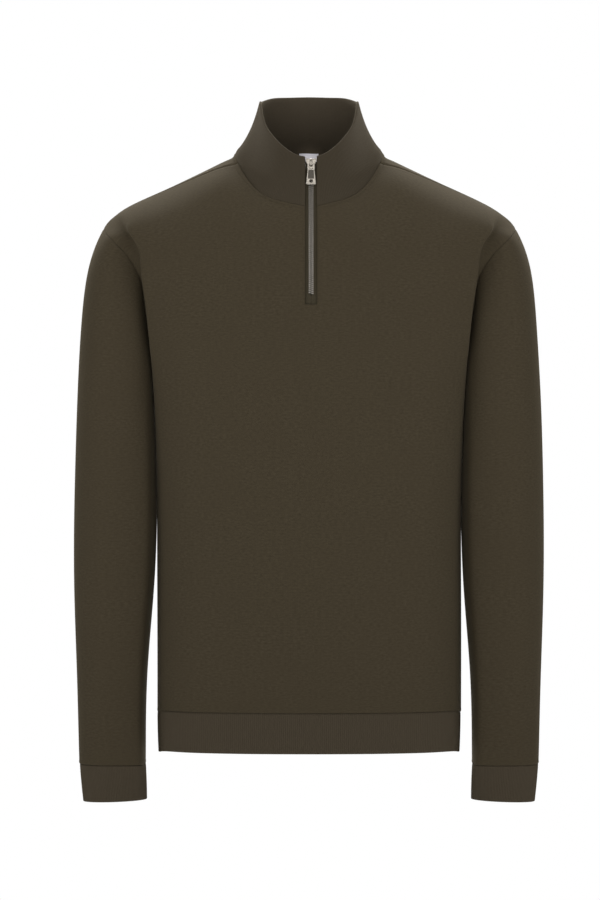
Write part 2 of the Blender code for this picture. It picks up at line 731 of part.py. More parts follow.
def zip_path(points, faces, rows):
    """The zip's line down the front: (y, z) of the outer skin from the slot's foot to the top."""
    rim = sorted({v for edge in border_edges(faces) for v in edge
                  if abs(points[v].x - ZIP_X - SLOT_HALF) < 1e-4}, key=lambda v: points[v].z)
    path = [(points[v].z, points[v].y) for v in rim if points[v].z > SLOT_BOTTOM_Z - 1e-4]
    path += [(row[-1].z, row[-1].y) for row in rows[1:]]
    below = [(points[v].z, points[v].y) for v in range(len(points))
             if abs(points[v].x - ZIP_X - SLOT_HALF) < 1e-4 and points[v].y < 0
             and TAPE_BOTTOM_Z - 0.05 < points[v].z < SLOT_BOTTOM_Z - 1e-4]
    return sorted(below) + path


def on_path(path, level, depth):
    """The zip's middle line at a level, so deep below the outer skin, with its directions."""
    top, below = path[-1], path[-3]
    lean = (top[1] - below[1]) / (top[0] - below[0])
    step = 0.004
    low, y, high = (smooth_read(path, level + up, 1) + lean * max(0.0, level + up - top[0])
                    for up in (-step, 0.0, step))
    slope = (high - low) / (2 * step)
    up = Vector((0.0, slope, 1.0)).normalized()
    out = Vector((0.0, -up.z, up.y))
    return Vector((ZIP_X, y, level)) - out * depth, up, out


def strip_solid(name, path, levels, sides, depths, kind):
    """A flat strip that follows the zip's line; sides gives its two x offsets at a level."""
    vertices, faces = [], []
    for level in levels:
        for depth in depths:
            for offset in sides(level):
                fall = TAPE_FALL * max(0.0, abs(offset) - CHAIN_HALF) / (TAPE_HALF - CHAIN_HALF)
                point = on_path(path, level, depth + fall)[0]
                vertices.append(point + Vector((offset, 0.0, 0.0)))
    for i in range(len(levels) - 1):
        a, b = 4 * i, 4 * i + 4
        for j, k in ((0, 1), (1, 3), (3, 2), (2, 0)):
            faces.append((a + j, a + k, b + k, b + j))
    end = 4 * (len(levels) - 1)
    faces.append((0, 2, 3, 1))
    faces.append((end, end + 1, end + 3, end + 2))
    return outward(add_object(name, vertices, faces, kind, smooth=False))


def spaced(low, high, count):
    return [mix(low, high, i / (count - 1)) for i in range(count)]


def make_zip(path, top_z):
    """Tapes and chain of the zip; the tapes close up below the chain."""
    neck_z = NECK_FRONT[0][2]
    foot_z = CHAIN_BOTTOM_Z - 2 * CLEAR
    levels = [TAPE_BOTTOM_Z, mix(TAPE_BOTTOM_Z, foot_z, 0.5), foot_z]
    levels += spaced(foot_z + CLEAR, neck_z - 0.0035, 11) + spaced(neck_z, top_z - 0.004, 6)
    for name, side in (("zip_tape_left", 1), ("zip_tape_right", -1)):
        def sides(level, side=side):
            near = CHAIN_HALF + CLEAR if level > foot_z else CLEAR / 2
            far = TAPE_HALF if level < neck_z - 0.001 else SLOT_HALF - 0.0004
            return side * near, side * far
        strip_solid(name, path, levels, sides, TAPE_DEPTH, "tape")
    chain = spaced(CHAIN_BOTTOM_Z, CHAIN_TOP_Z, 16)
    strip_solid("zip_chain", path, chain, lambda level: (-CHAIN_HALF, CHAIN_HALF), CHAIN_DEPTH, "metal")


def zip_place(path, x, up_by, out_by):
    """A point given in the zip's own directions from the slider's top."""
    point, up, out = on_path(path, SLIDER_TOP_Z, 0.0)
    return point + Vector((x, 0.0, 0.0)) + up * up_by + out * out_by


def prism(path, outline, low, high):
    """A plate in the zip's plane: its outline as (x, up) points, between two heights outwards."""
    work = bmesh.new()
    face = work.faces.new([work.verts.new(zip_place(path, x, up, low)) for x, up in outline])
    grown = bmesh.ops.extrude_face_region(work, geom=[face])
    out = on_path(path, SLIDER_TOP_Z, 0.0)[2]
    shift = [v for v in grown["geom"] if isinstance(v, bmesh.types.BMVert)]
    bmesh.ops.translate(work, verts=shift, vec=out * (high - low))
    bmesh.ops.recalc_face_normals(work, faces=work.faces)
    mesh = bpy.data.meshes.new("plate")
    work.to_mesh(mesh)
    work.free()
    made = bpy.data.objects.new("plate", mesh)
    bpy.context.collection.objects.link(made)
    return made


def rectangle(half, low, high):
    return [(-half, high), (-half, low), (half, low), (half, high)]


def joined(name, plates, cutters, kind, origin):
    """Plates made one body by Boolean unions and cuts, with its origin at a point."""
    base = plates[0]
    for other, operation in [(p, "UNION") for p in plates[1:]] + [(c, "DIFFERENCE") for c in cutters]:
        cut = base.modifiers.new("Boolean", "BOOLEAN")
        cut.operation = operation
        cut.object = other
        cut.solver = "EXACT"
    graph = bpy.context.evaluated_depsgraph_get()
    mesh = bpy.data.meshes.new_from_object(base.evaluated_get(graph))
    vertices = [v.co.copy() for v in mesh.vertices]
    faces = [tuple(p.vertices) for p in mesh.polygons]
    for other in [base] + plates[1:] + cutters:
        bpy.data.objects.remove(other)
    bpy.data.meshes.remove(mesh)
    return outward(add_object(name, vertices, faces, kind, origin, smooth=False))


def tab_outline(top, end):
    """The tab's outline: it flares towards its end, which has round corners."""
    flare = []
    for i in range(TAB_STEPS + 1):
        share = i / TAB_STEPS
        half = mix(TAB_TOP_HALF, TAB_END_HALF, share * share)
        flare.append((half, mix(top, end + TAB_ROUND, share)))
    points = flare[:-1]
    for side in (1, -1):
        for i in range(TAB_STEPS + 1):
            share = i / TAB_STEPS if side > 0 else 1 - i / TAB_STEPS
            turn = math.radians(90 * share)
            x = TAB_END_HALF - TAB_ROUND + TAB_ROUND * math.cos(turn)
            points.append((side * x, end + TAB_ROUND - TAB_ROUND * math.sin(turn)))
    return points + [(-x, up) for x, up in flare[-2::-1]]


def make_slider(path):
    """The slider: two plates joined by a post above the chain, and the bridge that holds the tab.

    It gives back where the tab's pin runs: how far up and out from the slider's top.
    """
    wide, narrow = SLIDER_WIDE / 2, SLIDER_NARROW / 2
    half = [(0.6 * wide, 0.0), (wide, -SLIDER_ROUND), (wide, -SLIDER_SHOULDER), (narrow, -SLIDER_WAIST),
            (narrow, -SLIDER_LENGTH)]
    body = [(-x, up) for x, up in half] + half[::-1]
    face_low = CLEAR - CHAIN_DEPTH[0]
    face = face_low + SLIDER_PLATE
    back_high = -CHAIN_DEPTH[1] - CLEAR
    front = prism(path, body, face_low, face)
    rear = prism(path, body, back_high - SLIDER_PLATE, back_high)
    foot = CHAIN_TOP_Z + CLEAR - SLIDER_TOP_Z
    post = [(-POST_HALF, -CLEAR), (-POST_HALF, foot / 2), (0.0, foot), (POST_HALF, foot / 2),
            (POST_HALF, -CLEAR)]
    middle = prism(path, post, back_high - SLIDER_PLATE / 2, face_low + SLIDER_PLATE / 2)
    low = BRIDGE_TOP - BRIDGE_LENGTH
    bridge = rectangle(BRIDGE_WIDTH / 2, low, BRIDGE_TOP)
    arch = prism(path, bridge, face - SLIDER_PLATE / 2, face + BRIDGE_CLEAR + BRIDGE_WALL)
    hollow = rectangle(BRIDGE_WIDTH, low + BRIDGE_WALL, BRIDGE_TOP - BRIDGE_WALL)
    gap = prism(path, hollow, face, face + BRIDGE_CLEAR)
    loop = joined("loop", [arch], [gap], "metal", (0.0, 0.0, 0.0))
    joined("zip_slider", [front, middle, rear, loop], [], "metal", (0.0, 0.0, 0.0))
    return low + BRIDGE_WALL + TAB_PIN + CLEAR, face + TAB_PIN + CLEAR


def make_tab(path, pin_up, pin_out):
    """The pull tab: a flat tapered plate hung on a round pin that runs under the bridge."""
    axis = zip_place(path, 0.0, pin_up, pin_out)
    low = pin_out - TAB_PIN
    high = low + TAB_THICK
    end = pin_up - TAB_LENGTH
    plate = prism(path, tab_outline(pin_up + TAB_LIP, end), low, high)
    eye = rectangle(BRIDGE_WIDTH / 2 + CLEAR, pin_up - TAB_PIN - TAB_EYE, pin_up + 2 * TAB_PIN)
    eye_cut = prism(path, eye, low - TAB_THICK, high + TAB_THICK)
    hole = []
    for i in range(HOLE_SIDES):
        turn = 2 * math.pi * i / HOLE_SIDES
        hole.append((HOLE_RADIUS * math.cos(turn), end + HOLE_UP + HOLE_RADIUS * math.sin(turn)))
    hole_cut = prism(path, hole, low - TAB_THICK, high + TAB_THICK)
    work = bmesh.new()
    across = Matrix.Rotation(math.radians(90), 4, "Y")
    bmesh.ops.create_cone(work, cap_ends=True, segments=12, radius1=TAB_PIN, radius2=TAB_PIN,
                          depth=2 * (TAB_TOP_HALF - CLEAR), matrix=Matrix.Translation(axis) @ across)
    pin_mesh = bpy.data.meshes.new("pin")
    work.to_mesh(pin_mesh)
    work.free()
    pin = bpy.data.objects.new("pin", pin_mesh)
    bpy.context.collection.objects.link(pin)
    cut_plate = joined("cut_plate", [plate], [eye_cut, hole_cut], "metal", (0.0, 0.0, 0.0))
    joined("pull_tab", [cut_plate, pin], [], "metal", axis)


def make_label(points, faces):
    """The neck label: a small blank tab that hangs inside the back from the neck seam."""
    back = sorted(((points[v].z, points[v].y) for face in faces for v in face
                   if abs(points[v].x) < 1e-5 and points[v].y > 0.03))
    back = sorted(set(back))
    rows = []
    top = NECK_BACK[0][2] - 0.0004
    for level in spaced(top - LABEL_DROP, top, 5):
        rows.append((smooth_read(back, level, 1) - WALL - 0.0012, level))
    vertices, faces_made = [], []
    for y, z in rows:
        for side, depth in ((-1, 0.0), (1, 0.0), (1, LABEL_THICK), (-1, LABEL_THICK)):
            vertices.append((side * LABEL_HALF, y - depth - LABEL_CURVE, z))
    for r in range(len(rows) - 1):
        a, b = 4 * r, 4 * r + 4
        for i in range(4):
            j = (i + 1) % 4
            faces_made.append((a + i, a + j, b + j, b + i))
    end = 4 * (len(rows) - 1)
    faces_made.append((3, 2, 1, 0))
    faces_made.append((end, end + 1, end + 2, end + 3))
    return outward(add_object("neck_label", vertices, faces_made, "label", smooth=False))


def main():
    for old in list(bpy.data.objects):
        bpy.data.objects.remove(old)
    points, faces, panels = fitted_form(1)
    keep_apart(points, faces, panels, SLEEVE_CLEARANCE)
    all_normals = vertex_normals(points, faces)
    split = [[f for f, p in zip(faces, panels) if p == panel] for panel in range(4)]
    pulls = [seam_pulls(points, part) for part in split]
    body = split[FRONT] + split[BACK]
    lift = vertex_normals(points, body)
    for panel, name in enumerate(PANELS):
        off_body = lift if panel in (LEFT, RIGHT) else {}
        panel_solid(name, points, split[panel], all_normals, pulls, off_body, WALL, "jersey")
    make_hem(points, body)
    for name in ("front_panel", "back_panel", "hem_band"):
        drop_sides(name)
    make_cuff("cuff_left", points, split[LEFT], 1)
    make_cuff("cuff_right", points, split[RIGHT], -1)
    rows = make_collar(points, body)[1]
    path = zip_path(points, split[FRONT], rows)
    top_z = COLLAR_EDGE[0][2]
    make_zip(path, top_z)
    make_tab(path, *make_slider(path))
    make_label(points, split[BACK])


main()
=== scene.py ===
# Half zip sweatshirt, filled out as worn: brushed sweatshirt jersey, ribbed collar, cuffs and hem,
# metal half zip. Metres, +Z up, front towards -Y, the wearer's left arm towards +X.
import math
import random

import bmesh
import bpy
import numpy as np
from mathutils import Matrix, Vector, noise
from mathutils.bvhtree import BVHTree
from mathutils.kdtree import KDTree


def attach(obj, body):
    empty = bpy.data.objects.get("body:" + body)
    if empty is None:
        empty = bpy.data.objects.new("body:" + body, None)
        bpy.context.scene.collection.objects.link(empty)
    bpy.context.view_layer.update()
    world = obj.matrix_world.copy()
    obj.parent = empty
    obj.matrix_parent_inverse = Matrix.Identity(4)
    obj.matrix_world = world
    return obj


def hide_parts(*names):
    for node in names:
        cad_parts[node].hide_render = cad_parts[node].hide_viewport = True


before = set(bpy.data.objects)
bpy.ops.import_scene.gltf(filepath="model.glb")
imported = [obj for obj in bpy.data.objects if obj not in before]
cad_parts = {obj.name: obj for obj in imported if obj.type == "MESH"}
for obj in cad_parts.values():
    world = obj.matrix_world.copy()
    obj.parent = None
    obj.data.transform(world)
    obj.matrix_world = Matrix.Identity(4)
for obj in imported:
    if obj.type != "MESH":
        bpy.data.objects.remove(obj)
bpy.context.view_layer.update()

random.seed(7)

# The body's sections, level by level: depth at the middle, half width at the corner, how far back
# the corner lies, squareness, then the side wall between the corner and the side seam.
bodyForm = {
    "front": (
        (-0.654, 0.112, 0.170, 0.058, 2.3, 0.1795, 0.028, 0.1820, 0.000),
        (-0.510, 0.118, 0.170, 0.060, 2.3, 0.1795, 0.029, 0.1820, 0.000),
        (-0.375, 0.121, 0.173, 0.061, 2.4, 0.1810, 0.031, 0.1828, 0.000),
        (-0.256, 0.121, 0.1825, 0.064, 2.5, 0.1865, 0.036, 0.1875, 0.000),
        (-0.215, 0.119, 0.1880, 0.072, 2.5, 0.1887, 0.050, 0.1897, 0.029),
        (-0.175, 0.114, 0.1928, 0.076, 2.5, 0.1934, 0.058, 0.1962, 0.045),
        (-0.135, 0.107, 0.1985, 0.078, 2.5, 0.1996, 0.0605, 0.2040, 0.0550),
        (-0.102, 0.100, 0.2040, 0.0745, 2.4, 0.2065, 0.0575, 0.2290, 0.0560),
    ),
    "back": (
        (-0.654, 0.106, 0.170, 0.056, 2.3, 0.1795, 0.027, 0.1820, 0.000),
        (-0.510, 0.103, 0.170, 0.054, 2.3, 0.1795, 0.027, 0.1820, 0.000),
        (-0.375, 0.106, 0.173, 0.056, 2.3, 0.1810, 0.029, 0.1828, 0.000),
        (-0.256, 0.112, 0.1825, 0.060, 2.4, 0.1865, 0.034, 0.1875, 0.000),
        (-0.212, 0.114, 0.1880, 0.070, 2.4, 0.1905, 0.050, 0.1920, 0.031),
        (-0.165, 0.114, 0.1940, 0.077, 2.4, 0.1970, 0.061, 0.2020, 0.048),
        (-0.120, 0.111, 0.2010, 0.079, 2.3, 0.2070, 0.068, 0.2170, 0.060),
    ),
    "aboveHem": 0.040,              # an extra row, so the cloth beside the hem seam is fine enough
    "underarm": 4,                  # the row of the side seam's top, once that row is in
    "frontSpread": (0.0, 0.19, 0.35, 0.50, 0.68, 0.86, 1.0),
    "backSpread": (0.0, 0.17, 0.33, 0.47, 0.60, 0.74, 0.88, 1.0),
    "shoulderTip": (0.2466, 0.0020, -0.0806),
    "armholeFront": ((0.2412, -0.0350, -0.0890),),
    "armholeBack": ((0.2380, 0.0430, -0.0930), (0.2448, 0.0240, -0.0848)),
    "neckFront": ((0.0000, -0.0880, -0.0585), (0.0330, -0.0800, -0.0520),
                  (0.0620, -0.0580, -0.0370), (0.0845, -0.0220, -0.0030)),
    "neckBack": ((0.0000, 0.0740, 0.0150), (0.0400, 0.0680, 0.0148), (0.0720, 0.0430, 0.0145),
                 (0.0864, 0.0070, 0.0135), (0.0845, -0.0220, -0.0030)),
    # beside the collar behind: x, crown height, distance behind the crown, for an upper and a lower row
    "neckSide": (((0.0910, 0.0085, 0.0290), (0.0910, 0.0085, 0.0630)),
                 ((0.1010, 0.0010, 0.0040), (0.1080, -0.0020, 0.0500))),
    # the shoulder, outwards: x, crown height, how far the seam lies forward, how far the back row lies behind
    "shoulder": ((0.1280, -0.0112, 0.0225, 0.0140), (0.1740, -0.0328, 0.0080, 0.0200),
                 (0.2140, -0.0524, 0.0030, 0.0220), (0.2324, -0.0643, 0.0010, 0.0230)),
    "crownY": 0.0050,
    "gable": 1.55,
    "yokeFront": 0.72,
    "foldOut": 0.0055,              # how far the chest's fold swings out above its last section
    "sideDrop": (0.0050, 0.16, 0.042),      # how much lower the side seams hang, from how high, how deep
    "yokeBack": 0.60,
    "neckReach": 0.100,
    # along which axis it is placed, where, how wide, on which side, how far it shifts up or across
    "settling": ((0, 0.186, 0.020, -1, -0.0024), (0, 0.130, 0.026, 1, 0.0010),
                 (2, -0.085, 0.040, 1, 0.0016), (2, -0.150, 0.050, -1, 0.0012)),
    # the armhole is a sharp valley below, and fades into the round of the shoulder
    "armholeCrease": (0.0, 0.0, 0.45, 1.0, 1.0, 1.0, 1.0, 1.0, 1.0, 0.45, 0.0, 0.0),
    "chestFold": (0.34, 0.52, 0.60, 0.66, 0.55),    # how sharply the chest turns into the armhole valley
}

# The sleeve's sections, level by level: outer and inner half widths, half depth, middle's y.
sleeveForm = {
    "sections": (
        (-0.090, 0.2522, 0.2000, 0.0640, 0.001), (-0.118, 0.2630, 0.1980, 0.0660, 0.001),
        (-0.166, 0.2703, 0.1930, 0.0670, 0.001), (-0.214, 0.2746, 0.1875, 0.0680, 0.001),
        (-0.262, 0.2774, 0.1845, 0.0680, 0.001), (-0.310, 0.2793, 0.1832, 0.0675, 0.001),
        (-0.358, 0.2806, 0.1826, 0.0665, 0.001), (-0.406, 0.2815, 0.1822, 0.0650, 0.000),
        (-0.454, 0.2820, 0.1816, 0.0630, -0.001), (-0.502, 0.2815, 0.1852, 0.0600, -0.003),
        (-0.550, 0.2801, 0.1898, 0.0565, -0.005), (-0.598, 0.2783, 0.1926, 0.0525, -0.008),
        (-0.646, 0.2766, 0.1942, 0.0480, -0.011), (-0.694, 0.2752, 0.1948, 0.0430, -0.014),
        (-0.720, 0.2743, 0.1949, 0.0395, -0.015),
    ),
    # rings down the sleeve: level, and how far each has turned from the armhole towards a level ring
    "rings": ((-0.400, 0.14), (-0.400, 0.36), (-0.400, 0.64), (-0.420, 0.90), (-0.500, 1.0),
              (-0.610, 1.0), (-0.696, 1.0), (-0.720, 1.0)),
    "angles": (0, 42, 86, 121, 143, 158, 180, 202, 217, 237, 270, 318),
    "squareness": (2.15, 3.5),      # outer and inner side; 2 is an ellipse, and the inner side is flatter
    "pressClear": 0.0008,
    "pressFade": 0.060,
    "pressReach": 0.030,
}

zipper = {
    "x": 0.0022,
    "slotHalf": 0.0070,
    "slotBottom": -0.175,
    "chainTop": -0.0102,
    "chainBottom": -0.1628,
    "chainDepth": (0.0013, 0.0038),
    "tapeDepth": (0.0022, 0.0029),
    "tapeNear": 0.0020,             # the tape's bead, which the teeth grip
    "bead": 0.00028,
    "beadWide": 0.0009,
    "tapeHalf": 0.0113,
    "tapeFall": 0.0014,
    "tapeBottom": -0.184,
    "toothPitch": 0.0023,           # along one side
    "tooth": (0.0030, 0.0010, 0.0005, 0.0017, 0.00095),     # root, neck, head's reach; root and head along
}

cloth = {
    "jersey": 0.0018,
    "rib": 0.0022,
    "collar": 0.0028,
    "fineness": 4,
    "seamGap": 0.00012,
    "rimInset": 0.00045,
    # beside each kind of seam: how deep the cloth dips in it, over what width, then the roll beside it
    "seams": {
        "hem": (0.0002, 0.0007, 0.00040, 0.0024, 0.0016),
        "cuff": (0.0002, 0.0007, 0.00030, 0.0024, 0.0016),
        "neck": (0.0001, 0.0007, 0.00045, 0.0030, 0.0016),
        "shoulder": (0.0010, 0.0010, 0.00040, 0.0036, 0.0022),
        "side": (0.0006, 0.0009, 0.00020, 0.0030, 0.0018),
        "armhole": (0.0002, 0.0007, 0.00010, 0.0030, 0.0018),
        "slot": (0.0006, 0.0006, 0.00040, 0.0024, 0.0014),
    },
    "seamReach": 0.012,
    "farFromSeam": 0.05,
    "innerSwell": 0.0004,           # the most that the inner skin follows the outer one outwards
    "uneven": 0.0008,
    "unevenSize": 0.115,
}


def mix(a, b, share):
    return a + (b - a) * share


def spaced(low, high, count):
    return [mix(low, high, i / (count - 1)) for i in range(count)]


def linkObject(name, data):
    made = bpy.data.objects.new(name, data)
    bpy.context.collection.objects.link(made)
    return made


def lengthsAlong(points):
    # how far along a line each of its points lies
    return np.concatenate([[0.0], np.cumsum(np.linalg.norm(np.diff(points, axis=0), axis=1))])


def readTable(table, level, column):
    # a column of a table at any level, along a smooth curve through its rows
    rows = sorted(table, key=lambda row: row[0])
    if level <= rows[0][0]:
        return rows[0][column]
    if level >= rows[-1][0]:
        return rows[-1][column]
    at = next(i for i in range(len(rows) - 1) if rows[i + 1][0] >= level)
    low, high = rows[at], rows[at + 1]
    before, after = rows[max(at - 1, 0)], rows[min(at + 2, len(rows) - 1)]
    span = high[0] - low[0]
    slopeLow = (high[column] - before[column]) / (high[0] - before[0])
    slopeHigh = (after[column] - low[column]) / (after[0] - low[0])
    t = (level - low[0]) / span
    rise = high[column] - low[column]
    return (low[column] + t * t * (3 - 2 * t) * rise
            + span * (t * (1 - t) ** 2 * slopeLow - t * t * (1 - t) * slopeHigh))


def sectionRow(section, spread, facing):
    level, depth, reach, corner, square, wallX, wallY, seamX, seamY = section
    back = corner - 0.30 * (depth - corner)
    row = []
    full = (1 - ((corner - back) / (depth - back)) ** square) ** (1 / square)
    for share in spread:
        fall = (1 - (share * full) ** square) ** (1 / square)
        row.append((share * reach, facing * (back + (depth - back) * fall), level))
    row.append((wallX, facing * wallY, level))
    row.append((seamX, facing * seamY, level))
    return row


def bodySections(name):
    table = bodyForm[name]
    level = table[0][0] + bodyForm["aboveHem"]
    extra = (level,) + tuple(readTable(table, level, c) for c in range(1, 9))
    return (table[0], extra) + tuple(table[1:])


def gablePoint(column, foot, away, facing):
    # a point of the shoulder's cross-section, so far in front of or behind its crown
    crownY = bodyForm["crownY"]
    share = away / abs(foot[1] - crownY)
    drop = 1 - (1 - share ** bodyForm["gable"]) ** (1 / bodyForm["gable"])
    return (mix(column[0], foot[0], drop), crownY + facing * away, mix(column[1], foot[2], drop))


def liftedBetween(low, high, share, bulge, facing):
    run, rise = high[1] - low[1], high[2] - low[2]
    length = math.hypot(run, rise)
    lift = bulge * length
    return (mix(low[0], high[0], share), mix(low[1], high[1], share) + lift * facing * abs(rise) / length,
            mix(low[2], high[2], share) + lift * abs(run) / length)


def frontRows():
    rows = [sectionRow(section, bodyForm["frontSpread"], -1) for section in bodySections("front")]
    last, top = rows[-1], list(bodyForm["neckFront"])
    yoke = [liftedBetween(last[i], top[i], 0.5, (0.02, 0.035, 0.07, 0.13)[i], -1) for i in range(4)]
    for i, column in enumerate(bodyForm["shoulder"], start=4):
        foot = last[i]
        x, y, z = gablePoint(column, foot, bodyForm["yokeFront"] * abs(foot[1] - bodyForm["crownY"]), -1)
        yoke.append((x + (bodyForm["foldOut"] if i == 6 else 0.0), y, z))
        top.append(gablePoint(column, foot, column[2], -1))
    yoke.append(bodyForm["armholeFront"][0])
    top.append(bodyForm["shoulderTip"])
    return rows + [yoke, top]


def backRows():
    rows = [sectionRow(section, bodyForm["backSpread"], 1) for section in bodySections("back")]
    last, top = rows[-1], list(bodyForm["neckBack"])
    yoke, crown = [], []
    for i in range(3):
        yoke.append(liftedBetween(last[i], top[i], 0.36, 0.045 + 0.02 * i, 1))
        crown.append(liftedBetween(last[i], top[i], 0.72, 0.035 + 0.02 * i, 1))
    for i, (upper, lower) in enumerate(bodyForm["neckSide"], start=3):
        crown.append(gablePoint(upper, last[i], upper[2], 1))
        yoke.append(gablePoint(lower, last[i], lower[2], 1))
    frontTop = frontRows()[-1]
    for i, column in enumerate(bodyForm["shoulder"], start=5):
        foot = last[i]
        yoke.append(gablePoint(column, foot, bodyForm["yokeBack"] * abs(foot[1] - bodyForm["crownY"]), 1))
        crown.append(gablePoint(column, foot, column[3], 1))
        top.append(frontTop[i - 1])
    yoke.append(bodyForm["armholeBack"][0])
    crown.append(bodyForm["armholeBack"][1])
    top.append(bodyForm["shoulderTip"])
    return rows + [yoke, crown, top]


def sleevePoint(level, angle):
    outer, inner, depth, middle = (readTable(sleeveForm["sections"], level, c) for c in (1, 2, 3, 4))
    aside, forward = math.cos(math.radians(angle)), math.sin(math.radians(angle))
    power = 2 / sleeveForm["squareness"][aside < -1e-6]
    aside, forward = (math.copysign(abs(v) ** power, v) for v in (aside, forward))
    return ((outer + inner) / 2 + (outer - inner) / 2 * aside, middle - depth * forward, level)


def sleeveRings(front, back):
    under = bodyForm["underarm"]
    armhole = [bodyForm["shoulderTip"], bodyForm["armholeFront"][0]]
    armhole += [front[r][-1] for r in range(under + 4, under - 1, -1)]
    armhole += [back[r][-1] for r in range(under + 1, under + 4)] + list(bodyForm["armholeBack"])
    rings = [armhole]
    for level, turned in sleeveForm["rings"]:
        ring = []
        for i, start in enumerate(armhole):
            angle = mix(sleeveForm["angles"][i], 30 * i, min(1.0, 1.4 * turned))
            ring.append(sleevePoint(mix(start[2], level, turned), angle))
        rings.append(ring)
    return rings


panelNames = ("front_panel", "back_panel", "sleeve_left", "sleeve_right")
frontPart, backPart, leftPart, rightPart = range(4)


def settled(point):
    # worn cloth is never quite even: here and there it sits a little lower or further out
    x, y, z = point
    high = min(1.0, max(0.0, (z + 0.20) / 0.08)) * min(1.0, max(0.0, (abs(x) - 0.10) / 0.04))
    for axis, centre, spread, side, shift in bodyForm["settling"]:
        if x * side > 0.0:
            amount = shift * high * math.exp(-(((abs(x), y, z)[axis] - centre) / spread) ** 2)
            x, z = (x, z + amount) if axis == 0 else (x + amount, z)
    return Vector((x, y, z))


class Cage:
    # corner points and faces of the smooth form, with the cloth's own measure across and along it
    def __init__(self):
        self.points, self.index = [], {}
        self.faces, self.panels, self.measures = [], [], []

    def vertex(self, point):
        key = tuple(round(c * 1e6) for c in point)
        if key not in self.index:
            self.index[key] = len(self.points)
            self.points.append(settled(point))
        return self.index[key]

    def strip(self, rows, panel, flip, start=0.0, side=1, fromEnd=False):
        across, along = [], []
        for r, row in enumerate(rows):
            line = [start]
            for c in range(1, len(row)):
                line.append(line[-1] + math.dist(row[c], row[c - 1]))
            across.append(line)
            along.append([0.0] * len(row) if r == 0 else
                         [along[-1][c] + math.dist(row[c], rows[r - 1][c]) for c in range(len(row))])
        if fromEnd:
            along = [[value - end for value, end in zip(line, along[-1])] for line in along]
        for r in range(len(rows) - 1):
            for c in range(len(rows[r]) - 1):
                spots = ((r, c), (r, c + 1), (r + 1, c + 1), (r + 1, c))
                face = [self.vertex(rows[i][j]) for i, j in spots]
                cut = [(side * across[i][j], along[i][j]) for i, j in spots]
                self.faces.append(face[::-1] if flip else face)
                self.measures += cut[::-1] if flip else cut
                self.panels.append(panel)


def mirrored(rows, side):
    return [[(side * x, y, z) for x, y, z in row] for row in rows]


def bodyCage():
    cage = Cage()
    front, back = frontRows(), backRows()
    slotRow = next(i for i, s in enumerate(bodySections("front")) if s[0] == zipper["slotBottom"])
    rims, armholes, folds = {}, [], []
    under = bodyForm["underarm"]
    for side in (1, -1):
        half = mirrored(front, side)
        for row in half:
            row[0] = (zipper["x"] + side * zipper["slotHalf"], row[0][1], row[0][2])
        rims[side] = [row[0] for row in half]
        cage.strip(half, frontPart, side < 0, zipper["slotHalf"], side)
        cage.strip(mirrored(back, side), backPart, side > 0, 0.0, side)
        rings = mirrored(sleeveRings(front, back), side)
        armholes.append([cage.vertex(p) for p in rings[0]])
        rings = [ring + ring[:1] for ring in rings]
        cage.strip(rings, leftPart if side > 0 else rightPart, side < 0, 0.0, side, True)
        folds.append([cage.vertex(row[6]) for row in half[under:under + 6]])
    middle = [[rims[-1][r], rims[1][r]] for r in range(slotRow + 1)]
    cage.strip(middle, frontPart, False, -zipper["slotHalf"])
    corners = [cage.vertex(rims[side][slotRow]) for side in (1, -1)]
    return cage, corners, armholes, folds


def subdivided(cage, points, level, corners, armholes, folds):
    mesh = bpy.data.meshes.new("form")
    mesh.from_pydata(points, [], cage.faces)
    mesh.attributes.new("panel", "INT", "FACE").data.foreach_set("value", cage.panels)
    layer = mesh.uv_layers.new(name="cloth")
    layer.data.foreach_set("uv", [value for pair in cage.measures for value in pair])
    sharp = mesh.attributes.new("crease_vert", "FLOAT", "POINT")
    for corner in corners:
        sharp.data[corner].value = 1.0
    weights = {}
    for ring in armholes:
        for i, vertex in enumerate(ring):
            weights[frozenset((vertex, ring[(i + 1) % 12]))] = bodyForm["armholeCrease"][i]
    for fold in folds:
        for i, weight in enumerate(bodyForm["chestFold"]):
            weights[frozenset((fold[i], fold[i + 1]))] = weight
    crease = mesh.attributes.new("crease_edge", "FLOAT", "EDGE")
    for edge in mesh.edges:
        crease.data[edge.index].value = weights.get(frozenset(edge.vertices), 0.0)
    form = linkObject("form", mesh)
    smooth = form.modifiers.new("Subdivision", "SUBSURF")
    smooth.levels = level
    smooth.render_levels = level
    smooth.boundary_smooth = "PRESERVE_CORNERS"
    made = bpy.data.meshes.new_from_object(form.evaluated_get(bpy.context.evaluated_depsgraph_get()))
    result = readMesh(made)
    bpy.data.objects.remove(form)
    bpy.data.meshes.remove(mesh)
    bpy.data.meshes.remove(made)
    return result


def readMesh(mesh):
    # points, four-sided faces, each face's cloth measures and its panel
    points = np.empty(len(mesh.vertices) * 3)
    mesh.vertices.foreach_get("co", points)
    corners = np.empty(len(mesh.loops), dtype=np.int32)
    mesh.loops.foreach_get("vertex_index", corners)
    measures = np.empty(len(mesh.loops) * 2)
    mesh.uv_layers["cloth"].data.foreach_get("uv", measures)
    panels = np.zeros(len(mesh.polygons), dtype=np.int32)
    if "panel" in mesh.attributes:
        mesh.attributes["panel"].data.foreach_get("value", panels)
    return points.reshape(-1, 3), corners.reshape(-1, 4), measures.reshape(-1, 4, 2), panels


def fittedForm(level):
    # the control points are shifted until the smooth surface passes through the cage's points
    cage, corners, armholes, folds = bodyCage()
    control = [p.copy() for p in cage.points]
    for _ in range(8):
        reached = subdivided(cage, control, 1, corners, armholes, folds)[0]
        for i, goal in enumerate(cage.points):
            control[i] += goal - Vector(reached[i])
    return subdivided(cage, control, level, corners, armholes, folds)


